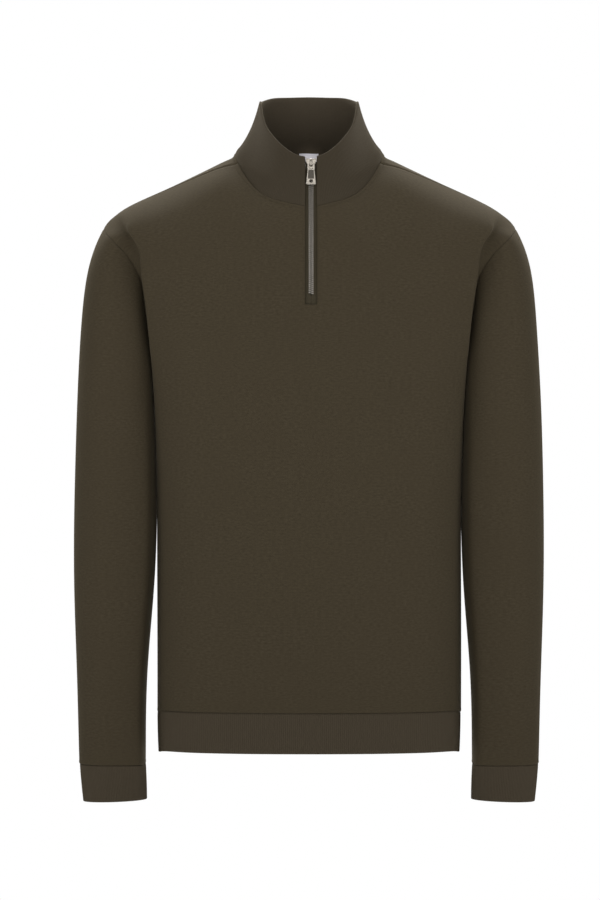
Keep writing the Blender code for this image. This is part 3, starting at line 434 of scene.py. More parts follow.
def pressSleeves(points, faces, panels):
    # each sleeve lies against the body, just clear of it
    body = faces[panels < leftPart]
    tree = BVHTree.FromPolygons(points.tolist(), body.tolist())
    inBody = set(np.unique(body).tolist())
    onSleeve = set(np.unique(faces[panels >= leftPart]).tolist()) - inBody
    underarmZ, hemZ = bodyForm["front"][3][0], bodyForm["front"][0][0]
    for v in sorted(onSleeve):
        place = Vector(points[v])
        below = (underarmZ + sleeveForm["pressFade"] - place.z) / sleeveForm["pressFade"]
        if below < 0.0:
            continue
        nearest, normal, _, distance = tree.find_nearest(place)
        height = (place - nearest).dot(normal)
        wanted = sleeveForm["pressClear"] * mix(0.35, 1.0, min(1.0, below))
        if nearest.z > hemZ + 0.002 and distance < sleeveForm["pressReach"] and height < wanted:
            points[v] = place + normal * (wanted - height)


def vertexNormals(points, faces):
    a, b = points[faces[:, 2]] - points[faces[:, 0]], points[faces[:, 3]] - points[faces[:, 1]]
    flat = np.cross(a, b)
    normals = np.zeros_like(points)
    for corner in range(4):
        np.add.at(normals, faces[:, corner], flat)
    return normals / np.maximum(np.linalg.norm(normals, axis=1, keepdims=True), 1e-12)


def borderEdges(faces):
    # directed edges that only one face has
    ends = np.stack([faces, np.roll(faces, -1, axis=1)], axis=2).reshape(-1, 2)
    both = {}
    for a, b in ends.tolist():
        both[(a, b)] = True
    return [(a, b) for a, b in both if (b, a) not in both]


def borderLoop(faces, wanted):
    steps = {a: b for a, b in borderEdges(faces) if wanted(a) and wanted(b)}
    starts = [a for a in steps if a not in set(steps.values())]
    at = starts[0] if starts else min(steps)
    loop = [at]
    while at in steps and steps[at] != loop[0]:
        at = steps[at]
        loop.append(at)
    return loop


def addMesh(name, points, faces, measures=None, materials=(), parts=None, smoothAngle=50):
    # one object from points, faces, cloth measures (one pair a corner) and each face's material
    mesh = bpy.data.meshes.new(name)
    mesh.from_pydata([tuple(p) for p in points], [], [tuple(f) for f in faces])
    for each in materials:
        mesh.materials.append(each)
    if parts is not None:
        mesh.polygons.foreach_set("material_index", np.asarray(parts, dtype=np.int32))
    layer = mesh.uv_layers.new(name="cloth")
    if measures is not None:
        layer.data.foreach_set("uv", np.asarray(measures, dtype=np.float32).ravel())
    mesh.shade_smooth()
    if smoothAngle < 180:
        mesh.set_sharp_from_angle(angle=math.radians(smoothAngle))
    return linkObject(name, mesh)


def addPointValues(made, name, values):
    made.data.attributes.new(name, "FLOAT", "POINT").data.foreach_set("value", np.asarray(values, np.float32))


def unevenness(point, size, seed):
    # soft hollows and swells, a little longer down the garment than across it
    return noise.noise(Vector((point[0] / size, point[1] / size + seed, point[2] / size * 0.55)))


def seamKind(point, owners, part):
    x, y, z = point
    if len(owners) > 1 and (leftPart in owners or rightPart in owners):
        return "armhole"
    if len(owners) > 1:
        return "side" if z < -0.2 else "shoulder"
    if part >= leftPart:
        return "cuff"
    if z < bodyForm["front"][0][0] + 1e-4:
        return "hem"
    if abs(x - zipper["x"]) < zipper["slotHalf"] + 1e-4 and y < 0 and z > zipper["slotBottom"] - 1e-4:
        return "slot"
    return "neck"


def seamShape(kind, distance):
    # how far the cloth dips or rolls at a distance from its seam
    sink, width, roll, rollAt, rollWidth = cloth["seams"][kind]
    return (roll * math.exp(-((distance - rollAt) / rollWidth) ** 2)
            - sink * math.exp(-(distance / width) ** 2))


def makePanel(part, form, formNormals, owners):
    # a cloth panel: its outer skin on the form, with seams drawn in, and its inner skin a wall inside
    points, faces, measures, panels = form
    own = panels == part
    used, local = np.unique(faces[own], return_inverse=True)
    mesh = bpy.data.meshes.new("work")
    mesh.from_pydata(points[used].tolist(), [], local.reshape(-1, 4).tolist())
    mesh.uv_layers.new(name="cloth").data.foreach_set("uv", measures[own].ravel())
    work = bmesh.new()
    work.from_mesh(mesh)
    bmesh.ops.inset_region(work, faces=work.faces[:], use_boundary=True, use_even_offset=True,
                           use_interpolate=True, thickness=cloth["rimInset"], depth=0.0)
    work.to_mesh(mesh)
    work.free()
    points, faces, measures, _ = readMesh(mesh)
    bpy.data.meshes.remove(mesh)
    normals = vertexNormals(points, faces)
    border = borderEdges(faces)
    lookup = {tuple(np.round(form[0][v] * 1e6).astype(int)): v for v in used}
    line = KDTree(4 * len(border))
    spots = []
    for a, b in border:
        at = lookup[tuple(np.round(points[a] * 1e6).astype(int))]
        other = lookup[tuple(np.round(points[b] * 1e6).astype(int))]
        shared = owners[at] & owners[other]
        kind = seamKind((points[a] + points[b]) / 2, shared, part)
        normals[a] = formNormals[at]
        for i in range(4):
            line.insert(mix(points[a], points[b], i / 4), len(spots))
            spots.append(kind)
    line.balance()
    distance = np.zeros(len(points))
    shift = np.zeros(len(points))
    for v, point in enumerate(points):
        _, spot, distance[v] = line.find(point)
        shift[v] = cloth["uneven"] * unevenness(point, cloth["unevenSize"], 3.0)
        if distance[v] < cloth["seamReach"]:
            shift[v] += seamShape(spots[spot], distance[v])
    onBorder = np.zeros(len(points), dtype=bool)
    onBorder[[a for a, _ in border]] = True
    outer = points + normals * shift[:, None]
    # the border draws back from its seam, towards the ring beside it
    for face in faces[onBorder[faces].any(axis=1)]:
        for i in range(4):
            a, b = face[i], face[(i + 1) % 4]
            for edge, inside in ((a, b), (b, a)):
                if onBorder[edge] and not onBorder[inside]:
                    way = points[inside] - points[edge]
                    outer[edge] += way / np.linalg.norm(way) * cloth["seamGap"] / 2
    inner = points + normals * (np.minimum(shift, cloth["innerSwell"]) - cloth["jersey"])[:, None]
    count = len(points)
    cornerOf = {}
    for face, cut in zip(faces.tolist(), measures.tolist()):
        for v, pair in zip(face, cut):
            cornerOf.setdefault(v, pair)
    rims = [(b, a, a + count, b + count) for a, b in border]
    rimCut = [(cornerOf[b], cornerOf[a], cornerOf[a], cornerOf[b]) for a, b in border]
    allFaces = np.concatenate([faces, faces[:, ::-1] + count, np.array(rims)])
    allCuts = np.concatenate([measures, measures[:, ::-1], np.array(rimCut)])
    parts = np.repeat([0, 1, 0], [len(faces), len(faces), len(rims)])
    made = addMesh(panelNames[part] + "_cloth", np.concatenate([outer, inner]), allFaces, allCuts,
                   (materials["jersey"], materials["fleece"]), parts)
    # each point's distance from its seam, which the jersey reads for its painted seam shade; the inner skin
    # counts as far from any seam
    addPointValues(made, "seamDistance", np.concatenate([distance, np.full(count, cloth["farFromSeam"])]))
    return made


def eased(share):
    return share * share * (3 - 2 * share)


def dropSides(piece):
    # worn, the body hangs a little lower at its side seams
    seam = bodyForm["front"][0][0]
    drop, tall, deep = bodyForm["sideDrop"]
    for vertex in piece.data.vertices:
        low = min(1.0, max(0.0, (seam + tall - vertex.co.z) / tall))
        vertex.co.z -= drop * eased(low) * math.exp(-(vertex.co.y / deep) ** 2)


def resampled(points, count, closed):
    # points at even steps along a line
    line = np.array([tuple(p) for p in points])
    if closed:
        line = np.concatenate([line, line[:1]])
    steps = lengthsAlong(line)
    goals = np.linspace(0.0, steps[-1], count + 1)[:-1] if closed else np.linspace(0.0, steps[-1], count)
    return np.stack([np.interp(goals, steps, line[:, i]) for i in range(3)], axis=1), steps[-1]


def ribWave(phase):
    # one rib across: a round wale and a narrow furrow
    return (0.5 + 0.5 * np.cos(2 * np.pi * phase)) ** 0.7


def gridFaces(rows, columns, closed):
    faces = []
    for r in range(rows - 1):
        for c in range(columns if closed else columns - 1):
            d = (c + 1) % columns
            faces.append((r * columns + c, r * columns + d, (r + 1) * columns + d, (r + 1) * columns + c))
    return faces


def gridCuts(across, along, closed):
    columns = len(across)
    cuts = []
    for r in range(len(along) - 1):
        for c in range(columns if closed else columns - 1):
            here = across[c]
            there = across[c + 1] if c + 1 < columns else across[-1] + across[1] - across[0]
            cuts.append(((here, along[r]), (there, along[r]), (there, along[r + 1]), (here, along[r + 1])))
    return cuts


band = {
    "ribPitch": 0.0024,             # one wale and its furrow
    "ribColumns": 5,
    "ribDepth": 0.00042,
    "stepIn": 0.0004,               # how far the band lies inside the cloth above it
    "seamDrop": 0.0003,             # how far below the seam it starts
    "tuck": 0.0001,                 # how far it draws in right at the seam
    "tuckReach": 0.0011,
    "puff": 0.0003,                 # how far it swells between its seam and its fold
    "ribReach": 0.004,              # how far below the seam its ribs stand out in full
    "furrow": 0.6,                  # which height of a rib lies on the band's own skin
    "foldSteps": 5,
    "hemBottom": -0.702,
    "hemInset": 0.0016,
    "cuffSeam": -0.720,
    "cuffBottom": -0.764,
    "cuffHalf": (0.0380, 0.0310),
    "cuffShift": 0.0028,
    "cuffTilt": 0.0013,
}


def outwardOf(ring, centre):
    # level directions square to a ring, away from its centre
    along = np.roll(ring, -1, axis=0) - np.roll(ring, 1, axis=0)
    outward = np.stack([along[:, 1], -along[:, 0], np.zeros(len(ring))], axis=1)
    outward /= np.linalg.norm(outward, axis=1, keepdims=True)
    return -outward if ((ring - centre) * outward).sum() < 0 else outward


def makeBand(name, seam, lower, centre, height, rows=11):
    # a doubled rib band: outer skin down from its seam, round the fold, and up again inside
    count = len(seam)
    wall = cloth["rib"]
    outward = outwardOf(seam, centre)
    ribs = round(count / band["ribColumns"])
    wave = ribWave(np.arange(count) * ribs / count)
    foldShare = wall / 2 / height
    section = []                    # share of the height, distance out from the outer skin, rib depth
    for i in range(rows):
        t = (i / (rows - 1)) ** 1.3
        tuck = band["tuck"] * math.exp(-(t * height / band["tuckReach"]) ** 2)
        puff = band["puff"] * math.sin(math.pi * min(1.0, t * 1.04)) ** 0.8
        section.append((t * (1 - foldShare), puff - tuck, min(1.0, 0.25 + t * height / band["ribReach"])))
    for i in range(1, band["foldSteps"] + 1):
        turn = math.pi * i / (band["foldSteps"] + 1)
        section.append((1 - foldShare + foldShare * math.sin(turn), -wall / 2 * (1 - math.cos(turn)), 1.0))
    for i in range(rows - 3):
        t = 1 - i / (rows - 4)
        section.append((t * (1 - foldShare), -wall, -0.6))
    points, depth = [], []
    for share, out, ribShare in section:
        for c in range(count):
            lift = out + band["ribDepth"] * ribShare * (wave[c] - band["furrow"])
            points.append(mix(seam[c], lower[c], share) + outward[c] * lift)
            depth.append(wave[c] if ribShare > 0 else 1 - wave[c])
    across = np.linspace(0.0, ribs * band["ribPitch"], count, endpoint=False)
    heights = np.cumsum([0.0] + [math.hypot((b[0] - a[0]) * height, b[1] - a[1])
                                 for a, b in zip(section, section[1:])])
    faces = gridFaces(len(section), count, True)
    cuts = gridCuts(across, heights, True)
    last = (len(section) - 1) * count
    for c in range(count):
        d = (c + 1) % count
        faces.append((last + c, last + d, d, c))
        cuts.append(((0.0, 0.0),) * 4)
    made = addMesh(name, points, faces, cuts, (materials["rib"],), smoothAngle=180)
    # each point's height on its rib, which the rib material reads for its painted furrow shade
    addPointValues(made, "ribHeight", depth)
    turnOutwards(made)
    return made


def turnOutwards(made):
    work = bmesh.new()
    work.from_mesh(made.data)
    bmesh.ops.recalc_face_normals(work, faces=work.faces)
    if work.calc_volume(signed=True) < 0:
        bmesh.ops.reverse_faces(work, faces=work.faces)
    work.to_mesh(made.data)
    work.free()


def bandRing(line, perRib, centre):
    # the seam's line at even steps, drawn in under the cloth above it
    length = resampled(line, 8, True)[1]
    ring = resampled(line, round(length / band["ribPitch"]) * perRib, True)[0]
    seam = ring - outwardOf(ring, centre) * band["stepIn"]
    seam[:, 2] = centre[2] - band["seamDrop"]
    return length, ring, seam


def makeHem(form):
    points, faces, _, panels = form
    seamZ = bodyForm["front"][0][0]
    body = faces[panels < leftPart]
    loop = borderLoop(body, lambda v: abs(points[v][2] - seamZ) < 1e-4)
    line = points[loop]
    if line[1][0] < line[0][0]:
        line = line[::-1]
    centre = np.array([0.0, 0.0, seamZ])
    length, ring, seam = bandRing(line, band["ribColumns"], centre)
    lower = ring - outwardOf(ring, centre) * band["hemInset"]
    lower[:, 2] = band["hemBottom"]
    made = makeBand("hem_band_rib", seam, lower, centre, seamZ - band["hemBottom"])
    return made, (length, seamZ - band["hemBottom"])


def makeCuff(name, form, part, side):
    points, faces, _, panels = form
    seamZ = band["cuffSeam"]
    loop = borderLoop(faces[panels == part], lambda v: abs(points[v][2] - seamZ) < 1e-4)
    end = sleeveForm["sections"][-1]
    centre = np.array([side * (end[1] + end[2]) / 2, end[4], seamZ])
    length, _, seam = bandRing(points[loop], band["ribColumns"] + 1, centre)
    lower = np.empty_like(seam)
    for i, p in enumerate(seam):
        turn = math.atan2((p[1] - centre[1]) / end[3], (p[0] - centre[0]) / ((end[1] - end[2]) / 2))
        lower[i] = (centre[0] + band["cuffHalf"][0] * math.cos(turn) - side * band["cuffShift"],
                    centre[1] + band["cuffHalf"][1] * math.sin(turn),
                    band["cuffBottom"] - band["cuffTilt"] * side * math.cos(turn))
    made = makeBand(name, seam, lower, centre, seamZ - band["cuffBottom"], rows=12)
    return made, (length, seamZ - band["cuffBottom"])


collar = {
    # the open edge from the middle of the front to the middle of the back, and the wall's hollow
    "edge": ((0.0000, -0.0750, 0.0000, 0.0010), (0.0190, -0.0700, 0.0055, 0.0016),
             (0.0380, -0.0560, 0.0210, 0.0026), (0.0533, -0.0330, 0.0430, 0.0036),
             (0.0592, -0.0030, 0.0705, 0.0042), (0.0575, 0.0240, 0.0752, 0.0042),
             (0.0440, 0.0470, 0.0810, 0.0040), (0.0220, 0.0620, 0.0830, 0.0038),
             (0.0000, 0.0665, 0.0838, 0.0036)),
    "ribColumns": 6,
    "rows": 17,
    "ribDepth": 0.00018,
    "tuck": 0.00005,                # how far it draws in at the neck seam, and over what height
    "tuckReach": 0.0012,
    "puff": 0.0006,                 # how far it swells above that, and how high
    "puffAt": 0.004,
    "flatEnd": 0.004,               # how far the first ribs beside the zip lie flat under the folded edge
    "seamGap": 0.00016,
    "allowance": 0.0015,            # how far the seam allowance reaches down inside the neck
}


def collarEdge(share):
    table = [(i / (len(collar["edge"]) - 1), *row) for i, row in enumerate(collar["edge"])]
    x, y, z, hollow = (readTable(table, share, c) for c in (1, 2, 3, 4))
    return np.array([x, y, z]), hollow


def shareAt(aside):
    # how far along the open edge it is so far from the middle
    low, high = 0.0, 0.3
    for _ in range(30):
        share = (low + high) / 2
        low, high = (share, high) if collarEdge(share)[0][0] < aside else (low, share)
    return low


def neckLine(form):
    # the neck seam from one side of the zip round the back to the other, at even steps in each half
    points, faces, _, panels = form
    low = bodyForm["neckFront"][0][2] - 0.0003
    body = faces[panels < leftPart]
    reach = bodyForm["neckReach"]
    loop = borderLoop(body, lambda v: math.hypot(*points[v][:2]) < reach and points[v][2] > low)
    line = points[loop]
    if line[0][0] > line[-1][0]:
        line = line[::-1]
    back = min(range(len(line)), key=lambda i: abs(line[i][0]) if line[i][1] > 0 else 9.0)
    length = resampled(line[back:], 8, False)[1]
    count = round(length / band["ribPitch"]) * collar["ribColumns"] + 1
    first, second = resampled(line[:back + 1], count, False)[0], resampled(line[back:], count, False)[0]
    return np.concatenate([first, second[1:]]), count - 1, 2 * length


def makeCollar(form):
    base, back, length = neckLine(form)
    last = len(base) - 1
    lengths = lengthsAlong(base)
    rows = collar["rows"]
    firstShares = [shareAt(abs(base[end][0])) for end in (0, -1)]
    grid = np.empty((rows, last + 1, 3))
    for i, p in enumerate(base):
        side = -1 if i < back else 1
        first = firstShares[0 if i <= back else 1]
        whole = lengths[back] if i <= back else lengths[-1] - lengths[back]
        gone = lengths[i] if i <= back else lengths[-1] - lengths[i]
        edge, hollow = collarEdge(mix(first, 1.0, gone / whole))
        top = edge * (side, 1, 1) - (0.0, 0.0, cloth["collar"] / 2)
        if i == back:
            top[0] = 0.0
        if i in (0, last):
            top[0] = p[0]
        inside = np.array([-p[0], -p[1], 0.0])
        inside /= np.linalg.norm(inside)
        way = top - p
        start = p + way / np.linalg.norm(way) * collar["seamGap"]
        for r in range(rows):
            v = (r / (rows - 1)) ** 1.15
            bend = 4 * v * (1 - v) * (1.25 - 0.5 * v)
            grid[r, i] = mix(start, top, v) + inside * hollow * bend
    for end in (0, last):           # the front ends are as straight as the zip that they are sewn to
        grid[:, end, 0] = base[end][0]
    across = np.gradient(grid, axis=1)
    upward = np.gradient(grid, axis=0)
    normal = np.cross(across, upward)
    normal /= np.linalg.norm(normal, axis=2, keepdims=True)
    if (normal[:, :, :2] * grid[:, :, :2]).sum() < 0:
        normal = -normal
    for end in (0, last):
        normal[:, end, 0] = 0.0
        normal[:, end] /= np.linalg.norm(normal[:, end], axis=1, keepdims=True)
    wall = cloth["collar"]
    wave = ribWave(np.arange(last + 1) / collar["ribColumns"] + 0.5)
    fromEnd = np.minimum(lengths, lengths[-1] - lengths)
    flat = np.clip((fromEnd - collar["flatEnd"]) / collar["flatEnd"], 0.0, 1.0)
    section = []                    # row of the grid, how far out and up from it, rib depth
    for r in range(rows):
        gone = np.linalg.norm(grid[r, back // 2] - grid[0, back // 2])
        lift = (collar["puff"] * math.exp(-((gone - collar["puffAt"]) / collar["puffAt"]) ** 2)
                - collar["tuck"] * math.exp(-(gone / collar["tuckReach"]) ** 2))
        section.append((r, lift, 0.0, min(1.0, 0.3 + gone / 0.006)))
    for i in range(1, 6):
        turn = math.pi * i / 6
        section.append((rows - 1, -wall / 2 * (1 - math.cos(turn)), wall / 2 * math.sin(turn), 1.0 - i / 6))
    for r in range(rows - 1, -1, -1):
        section.append((r, -wall, 0.0, -0.2))
    closed = len(section)
    # the seam allowance inside the neck, so that no light shows through the seam
    for out, low in ((-wall, 1), (-0.0020, 1), (-0.0020, 0), (-0.0010, 0)):
        section.append((0, out, -collar["allowance"] * low, 0.0))
    upDirection = upward / np.linalg.norm(upward, axis=2, keepdims=True)
    points, depth = [], []
    for r, out, up, ribShare in section:
        lift = out + collar["ribDepth"] * ribShare * (wave - band["furrow"]) * flat
        along = up * np.maximum(flat, 0.05)[:, None] if up < 0 else up
        points.append(grid[r] + normal[r] * lift[:, None] + upDirection[r] * along)
        depth.append(mix(0.7, wave if ribShare > 0 else 1 - wave, flat))
    points = np.array(points)
    heights = lengthsAlong(points[:, back // 2])
    count = last + 1
    faces = gridFaces(len(section), count, False)
    cuts = gridCuts(lengths, heights, False)
    outerRows = rows + 3
    parts = [int(r >= outerRows) for r in range(len(section) - 1) for _ in range(last)]
    bottom = (len(section) - 1) * count
    for c in range(last):
        faces.append((bottom + c, bottom + c + 1, c + 1, c))
        cuts.append(((lengths[c], 0.0),) * 4)
        parts.append(0)
    for end in (0, last):           # the folded ends beside the zip
        for r in range(closed // 2):
            other = closed - 1 - r
            if other - 1 <= r + 1:
                break
            faces.append(tuple(i * count + end for i in (r, r + 1, other - 1, other)))
            near, far = heights[r], heights[r + 1]
            cuts.append(((0.0, near), (0.0, far), (0.002, far), (0.002, near)))
            parts.append(0)
        for steps in ((-1, 0, 1, 2), (-1, 2, 3, -closed)):
            faces.append(tuple((closed + step) * count + end for step in steps))
            cuts.append(((0.0, 0.0),) * 4)
            parts.append(0)
    made = addMesh("collar_rib", points.reshape(-1, 3), faces, cuts,
                   (materials["collarRib"], materials["collarInside"]), parts, smoothAngle=70)
    # each point's height on its rib, which the rib material reads for its painted furrow shade
    addPointValues(made, "ribHeight", np.array(depth).ravel())
    turnOutwards(made)
    tall = float(np.mean(np.linalg.norm(np.diff(grid, axis=0), axis=2).sum(axis=0)))
    middle = (length + float(lengthsAlong(grid[-1])[-1])) / 2
    return made, grid, (middle, tall)


def zipPath(form, grid):
    # the zip's line down the front: (z, y) of the outer skin from the slot's foot to the top
    points, faces, _, panels = form
    at = zipper["x"] + zipper["slotHalf"]
    own = faces[panels == frontPart]
    rim = sorted({v for edge in borderEdges(own) for v in edge if abs(points[v][0] - at) < 1e-4},
                 key=lambda v: points[v][2])
    path = [(points[v][2], points[v][1]) for v in rim if points[v][2] > zipper["slotBottom"] - 1e-4]
    path = path[::6] + [path[-1]] if (len(path) - 1) % 6 else path[::6]
    path += [(row[-1][2], row[-1][1]) for row in grid[3::4]]
    below = [(p[2], p[1]) for p in points[np.unique(own)] if abs(p[0] - at) < 1e-4 and p[1] < 0
             and zipper["tapeBottom"] - 0.05 < p[2] < zipper["slotBottom"] - 1e-3]
    return sorted(below)[::5] + path


def onZip(level, depth=0.0):
    # the zip's middle line at a level, so deep below the cloth's skin, with its directions
    path = zipper["path"]
    top, below = path[-1], path[-3]
    lean = (top[1] - below[1]) / (top[0] - below[0])
    step = 0.004
    low, y, high = (readTable(path, level + up, 1) + lean * max(0.0, level + up - top[0])
                    for up in (-step, 0.0, step))
    up = Vector((0.0, (high - low) / (2 * step), 1.0)).normalized()
    out = Vector((0.0, -up.z, up.y))
    return Vector((zipper["x"], y, level)) - out * depth, up, out


def plate(outlines, thickness, edge, steps=3):
    # a flat metal plate with rounded edges; the first outline is its shape and the rest are holes
    curve = bpy.data.curves.new("plate", "CURVE")
    curve.dimensions = "2D"
    curve.fill_mode = "BOTH"
    curve.extrude = thickness / 2 - edge
    curve.bevel_depth = edge
    curve.bevel_resolution = steps
    curve.offset = -edge
    for outline in outlines:
        line = curve.splines.new("POLY")
        line.points.add(len(outline) - 1)
        for point, (x, y) in zip(line.points, outline):
            point.co = (x, y, 0.0, 1.0)
        line.use_cyclic_u = True
    shape = linkObject("plate", curve)
    bpy.context.view_layer.update()
    mesh = bpy.data.meshes.new_from_object(shape.evaluated_get(bpy.context.evaluated_depsgraph_get()))
    bpy.data.objects.remove(shape)
    bpy.data.curves.remove(curve)
    return mesh


def placed(mesh, origin, up, out, shift):
    # a plate's mesh stood on the zip: x stays, its y runs up the zip, its z points out
    turn = Matrix(((1, 0, 0), (0, up.y, out.y), (0, up.z, out.z))).to_4x4()
    mesh.transform(Matrix.Translation(origin + out * shift) @ turn)
    return mesh


def joinMeshes(name, meshes, finishes, smoothAngle=35):
    work = bmesh.new()
    for mesh in meshes:
        work.from_mesh(mesh)
        bpy.data.meshes.remove(mesh)
    bmesh.ops.remove_doubles(work, verts=work.verts, dist=1e-7)
    joined = bpy.data.meshes.new(name)
    work.to_mesh(joined)
    work.free()
    for finish in finishes:
        joined.materials.append(finish)
    joined.shade_smooth()
    joined.set_sharp_from_angle(angle=math.radians(smoothAngle))
    return linkObject(name, joined)


def roundedOutline(points, radius, steps=5):
    # a polygon with its corners rounded
    line = []
    count = len(points)
    for i, corner in enumerate(points):
        here = Vector(corner)
        before, after = Vector(points[i - 1]) - here, Vector(points[(i + 1) % count]) - here
        reach = min(radius, 0.45 * before.length, 0.45 * after.length)
        start, end = here + before.normalized() * reach, here + after.normalized() * reach
        for s in range(steps + 1):
            t = s / steps
            line.append(tuple(start * (1 - t) ** 2 + here * 2 * t * (1 - t) + end * t * t))
    return line


def ring(radius, centre=(0.0, 0.0), steps=28):
    return [(centre[0] + radius * math.cos(2 * math.pi * i / steps),
             centre[1] + radius * math.sin(2 * math.pi * i / steps)) for i in range(steps)]


def makeTeeth():
    # each tooth grips the tape's bead with its legs and locks its head between two opposite heads
    root, throat, reach, rootTall, headTall = zipper["tooth"]
    front, rear = zipper["chainDepth"]
    upper = [(root, rootTall / 2), (1.5 * throat, rootTall / 2),
             (throat, headTall / 2), (-reach, headTall / 2)]
    outline = [(root, -rootTall / 2)] + upper + [(x, -y) for x, y in upper[:0:-1]]
    meshes = []
    pitch = zipper["toothPitch"]
    count = int((zipper["chainTop"] - 0.0006 - zipper["chainBottom"]) / pitch)
    for side, offset in ((1, 0.0), (-1, 0.5)):
        shape = roundedOutline([(side * x, y) for x, y in outline], 0.0003, 2)
        for i in range(count):
            level = zipper["chainBottom"] + (i + 0.35 + offset) * pitch
            origin, up, out = onZip(level, (front + rear) / 2)
            meshes.append(placed(plate([shape], rear - front, 0.00028, 2), origin, up, out,
                                 random.uniform(-0.00002, 0.00002)))
    return joinMeshes("zip_teeth", meshes, [materials["nickelTeeth"]])


def makeTape(name, side):
    # a woven tape from the bead under the teeth to its sewn edge under the cloth
    levels = spaced(zipper["tapeBottom"], collar["edge"][0][2] - 0.005, 96)
    front, rear = zipper["tapeDepth"]
    neckZ = bodyForm["neckFront"][0][2]
    meet = zipper["chainBottom"] - 0.0007
    section = [(share, 0.0) for share in (0.0, 0.12, 0.30, 0.60, 1.0)]
    section += [(share, 1.0) for share in (1.0, 0.30, 0.0)]
    points, across, along = [], [0.0, 0.001, 0.003, 0.006, 0.009, 0.010, 0.015, 0.018], []
    for level in levels:
        close = min(1.0, max(0.0, (meet + 0.0022 - level) / 0.0030))
        near = mix(zipper["tapeNear"], 0.00012, eased(close))
        far = zipper["tapeHalf"] if level < neckZ else zipper["slotHalf"] - 0.0003
        if level < zipper["slotBottom"]:
            far = zipper["tapeHalf"]
        for share, deep in section:
            offset = mix(near, far, share)
            bead = math.exp(-((offset - near) / zipper["beadWide"]) ** 2) * (1 if deep == 0 else -1)
            fall = zipper["tapeFall"] * max(0.0, offset - 0.003) / (zipper["tapeHalf"] - 0.003)
            origin, _, out = onZip(level, mix(front, rear, deep) + fall)
            points.append(origin + Vector((side * offset, 0.0, 0.0)) + out * zipper["bead"] * bead)
        along.append(level)
    count = len(section)
    faces = gridFaces(len(levels), count, True)
    cuts = gridCuts(across, along, True)
    faces.append(tuple(range(count)))
    faces.append(tuple(range((len(levels) - 1) * count, len(levels) * count))[::-1])
    cuts = [pair for cut in cuts for pair in cut] + [(0.0, 0.0)] * (2 * count)
    made = addMesh(name, points, faces, cuts, (materials["tape"],), smoothAngle=40)
    turnOutwards(made)
    return made


slider = {
    "top": -0.0012,
    "wide": 0.0134,
    "narrow": 0.0094,
    "length": 0.0130,
    "plate": 0.0013,
    "edge": 0.00038,
    "flange": 0.0011,
    "bridgeWidth": 0.0030,
    "bridgeLength": 0.0095,
    "bridgeTop": -0.0008,
    "bridgeClear": 0.0030,
    "bridgeWall": 0.0011,
    # the wedge that parts the teeth
    "post": ((-0.0018, -0.0003), (-0.0018, -0.0045), (0.0, -0.0086), (0.0018, -0.0045), (0.0018, -0.0003)),
    "pin": 0.0007,
    "hinge": (-0.077046, -0.008327),    # the CAD's hinge for the pull tab, y and z
}


def sliderPiece(mesh, shift=0.0):
    return placed(mesh, *onZip(slider["top"]), shift)


def sliderPlate(outlines, thickness, edge, steps, shift):
    return sliderPiece(plate(outlines, thickness, edge, steps), shift)


def pinPlace():
    # how far the CAD's hinge lies up the zip and out from it, so that the pin turns on the spot
    origin, up, out = onZip(slider["top"])
    reach = Vector((origin.x, *slider["hinge"])) - origin
    return reach.dot(up), reach.dot(out)


def makeSlider():
    wide, narrow = slider["wide"] / 2, slider["narrow"] / 2
    # two round lobes where the teeth come in, then a waist
    half = [(0.22 * wide, -0.0009), (0.50 * wide, -0.0001), (0.92 * wide, -0.0001), (wide, -0.0022),
            (0.90 * wide, -0.0040), (narrow, -0.0068), (narrow, -slider["length"])]
    body = roundedOutline([(-x, y) for x, y in half] + half[::-1], 0.0012)
    faceLow = 0.0003 - zipper["chainDepth"][0]
    face = faceLow + slider["plate"]
    rear = -zipper["chainDepth"][1] - 0.0003
    meshes = [sliderPlate([body], slider["plate"], slider["edge"], 4, outer - slider["plate"] / 2)
              for outer in (face, rear)]
    # side flanges fold down from the front plate and keep the teeth in
    high, low = -0.0082, -slider["length"] + 0.0004
    for side in (1, -1):
        outer, inner = side * narrow, side * (narrow - 0.0008)
        flange = [(outer, high), (outer, low), (inner, low), (inner, high)]
        meshes.append(sliderPlate([flange], slider["flange"], 0.00018, 2, faceLow - slider["flange"] / 3))
    post = roundedOutline(slider["post"], 0.0006)
    meshes.append(sliderPlate([post], face - rear, 0.0002, 2, (faceLow + rear) / 2))
    # the bridge is a strip bent into an arch, wider at its two feet
    low, high = slider["bridgeTop"] - slider["bridgeLength"], slider["bridgeTop"]
    clear, wall = slider["bridgeClear"], slider["bridgeWall"]
    centre, reach = (low + high) / 2, (high - low) / 2
    steps, around = 26, 10
    points = []
    for i in range(steps + 1):
        turn = math.pi * i / steps
        share = abs(math.cos(turn)) ** 0.55 * math.copysign(1, math.cos(turn))
        rise = max(0.0, math.sin(turn)) ** 0.55
        y = centre + (reach - wall / 2) * share
        z = face - 0.0004 + (clear + wall / 2 + 0.0004) * rise
        along = Vector((-(reach - wall / 2) * math.sin(turn), (clear + wall / 2) * math.cos(turn)))
        along.normalize()
        side = Vector((along.y, -along.x))
        width = slider["bridgeWidth"] / 2 * (1.0 + 0.12 * (1 - rise))
        for k in range(around):
            a = 2 * math.pi * k / around
            x = width * math.copysign(abs(math.cos(a)) ** 0.5, math.cos(a))
            deep = wall / 2 * math.copysign(abs(math.sin(a)) ** 0.6, math.sin(a))
            points.append((x, y + side.x * deep, z + side.y * deep))
    faces = gridFaces(steps + 1, around, True)
    faces += [tuple(range(around))[::-1], tuple(range(steps * around, (steps + 1) * around))]
    arch = bpy.data.meshes.new("arch")
    arch.from_pydata(points, [], faces)
    meshes.append(sliderPiece(arch))
    made = joinMeshes("zip_slider_body", meshes, [materials["nickel"], materials["nickelDullShaded"]])
    turnOutwards(made)
    return made


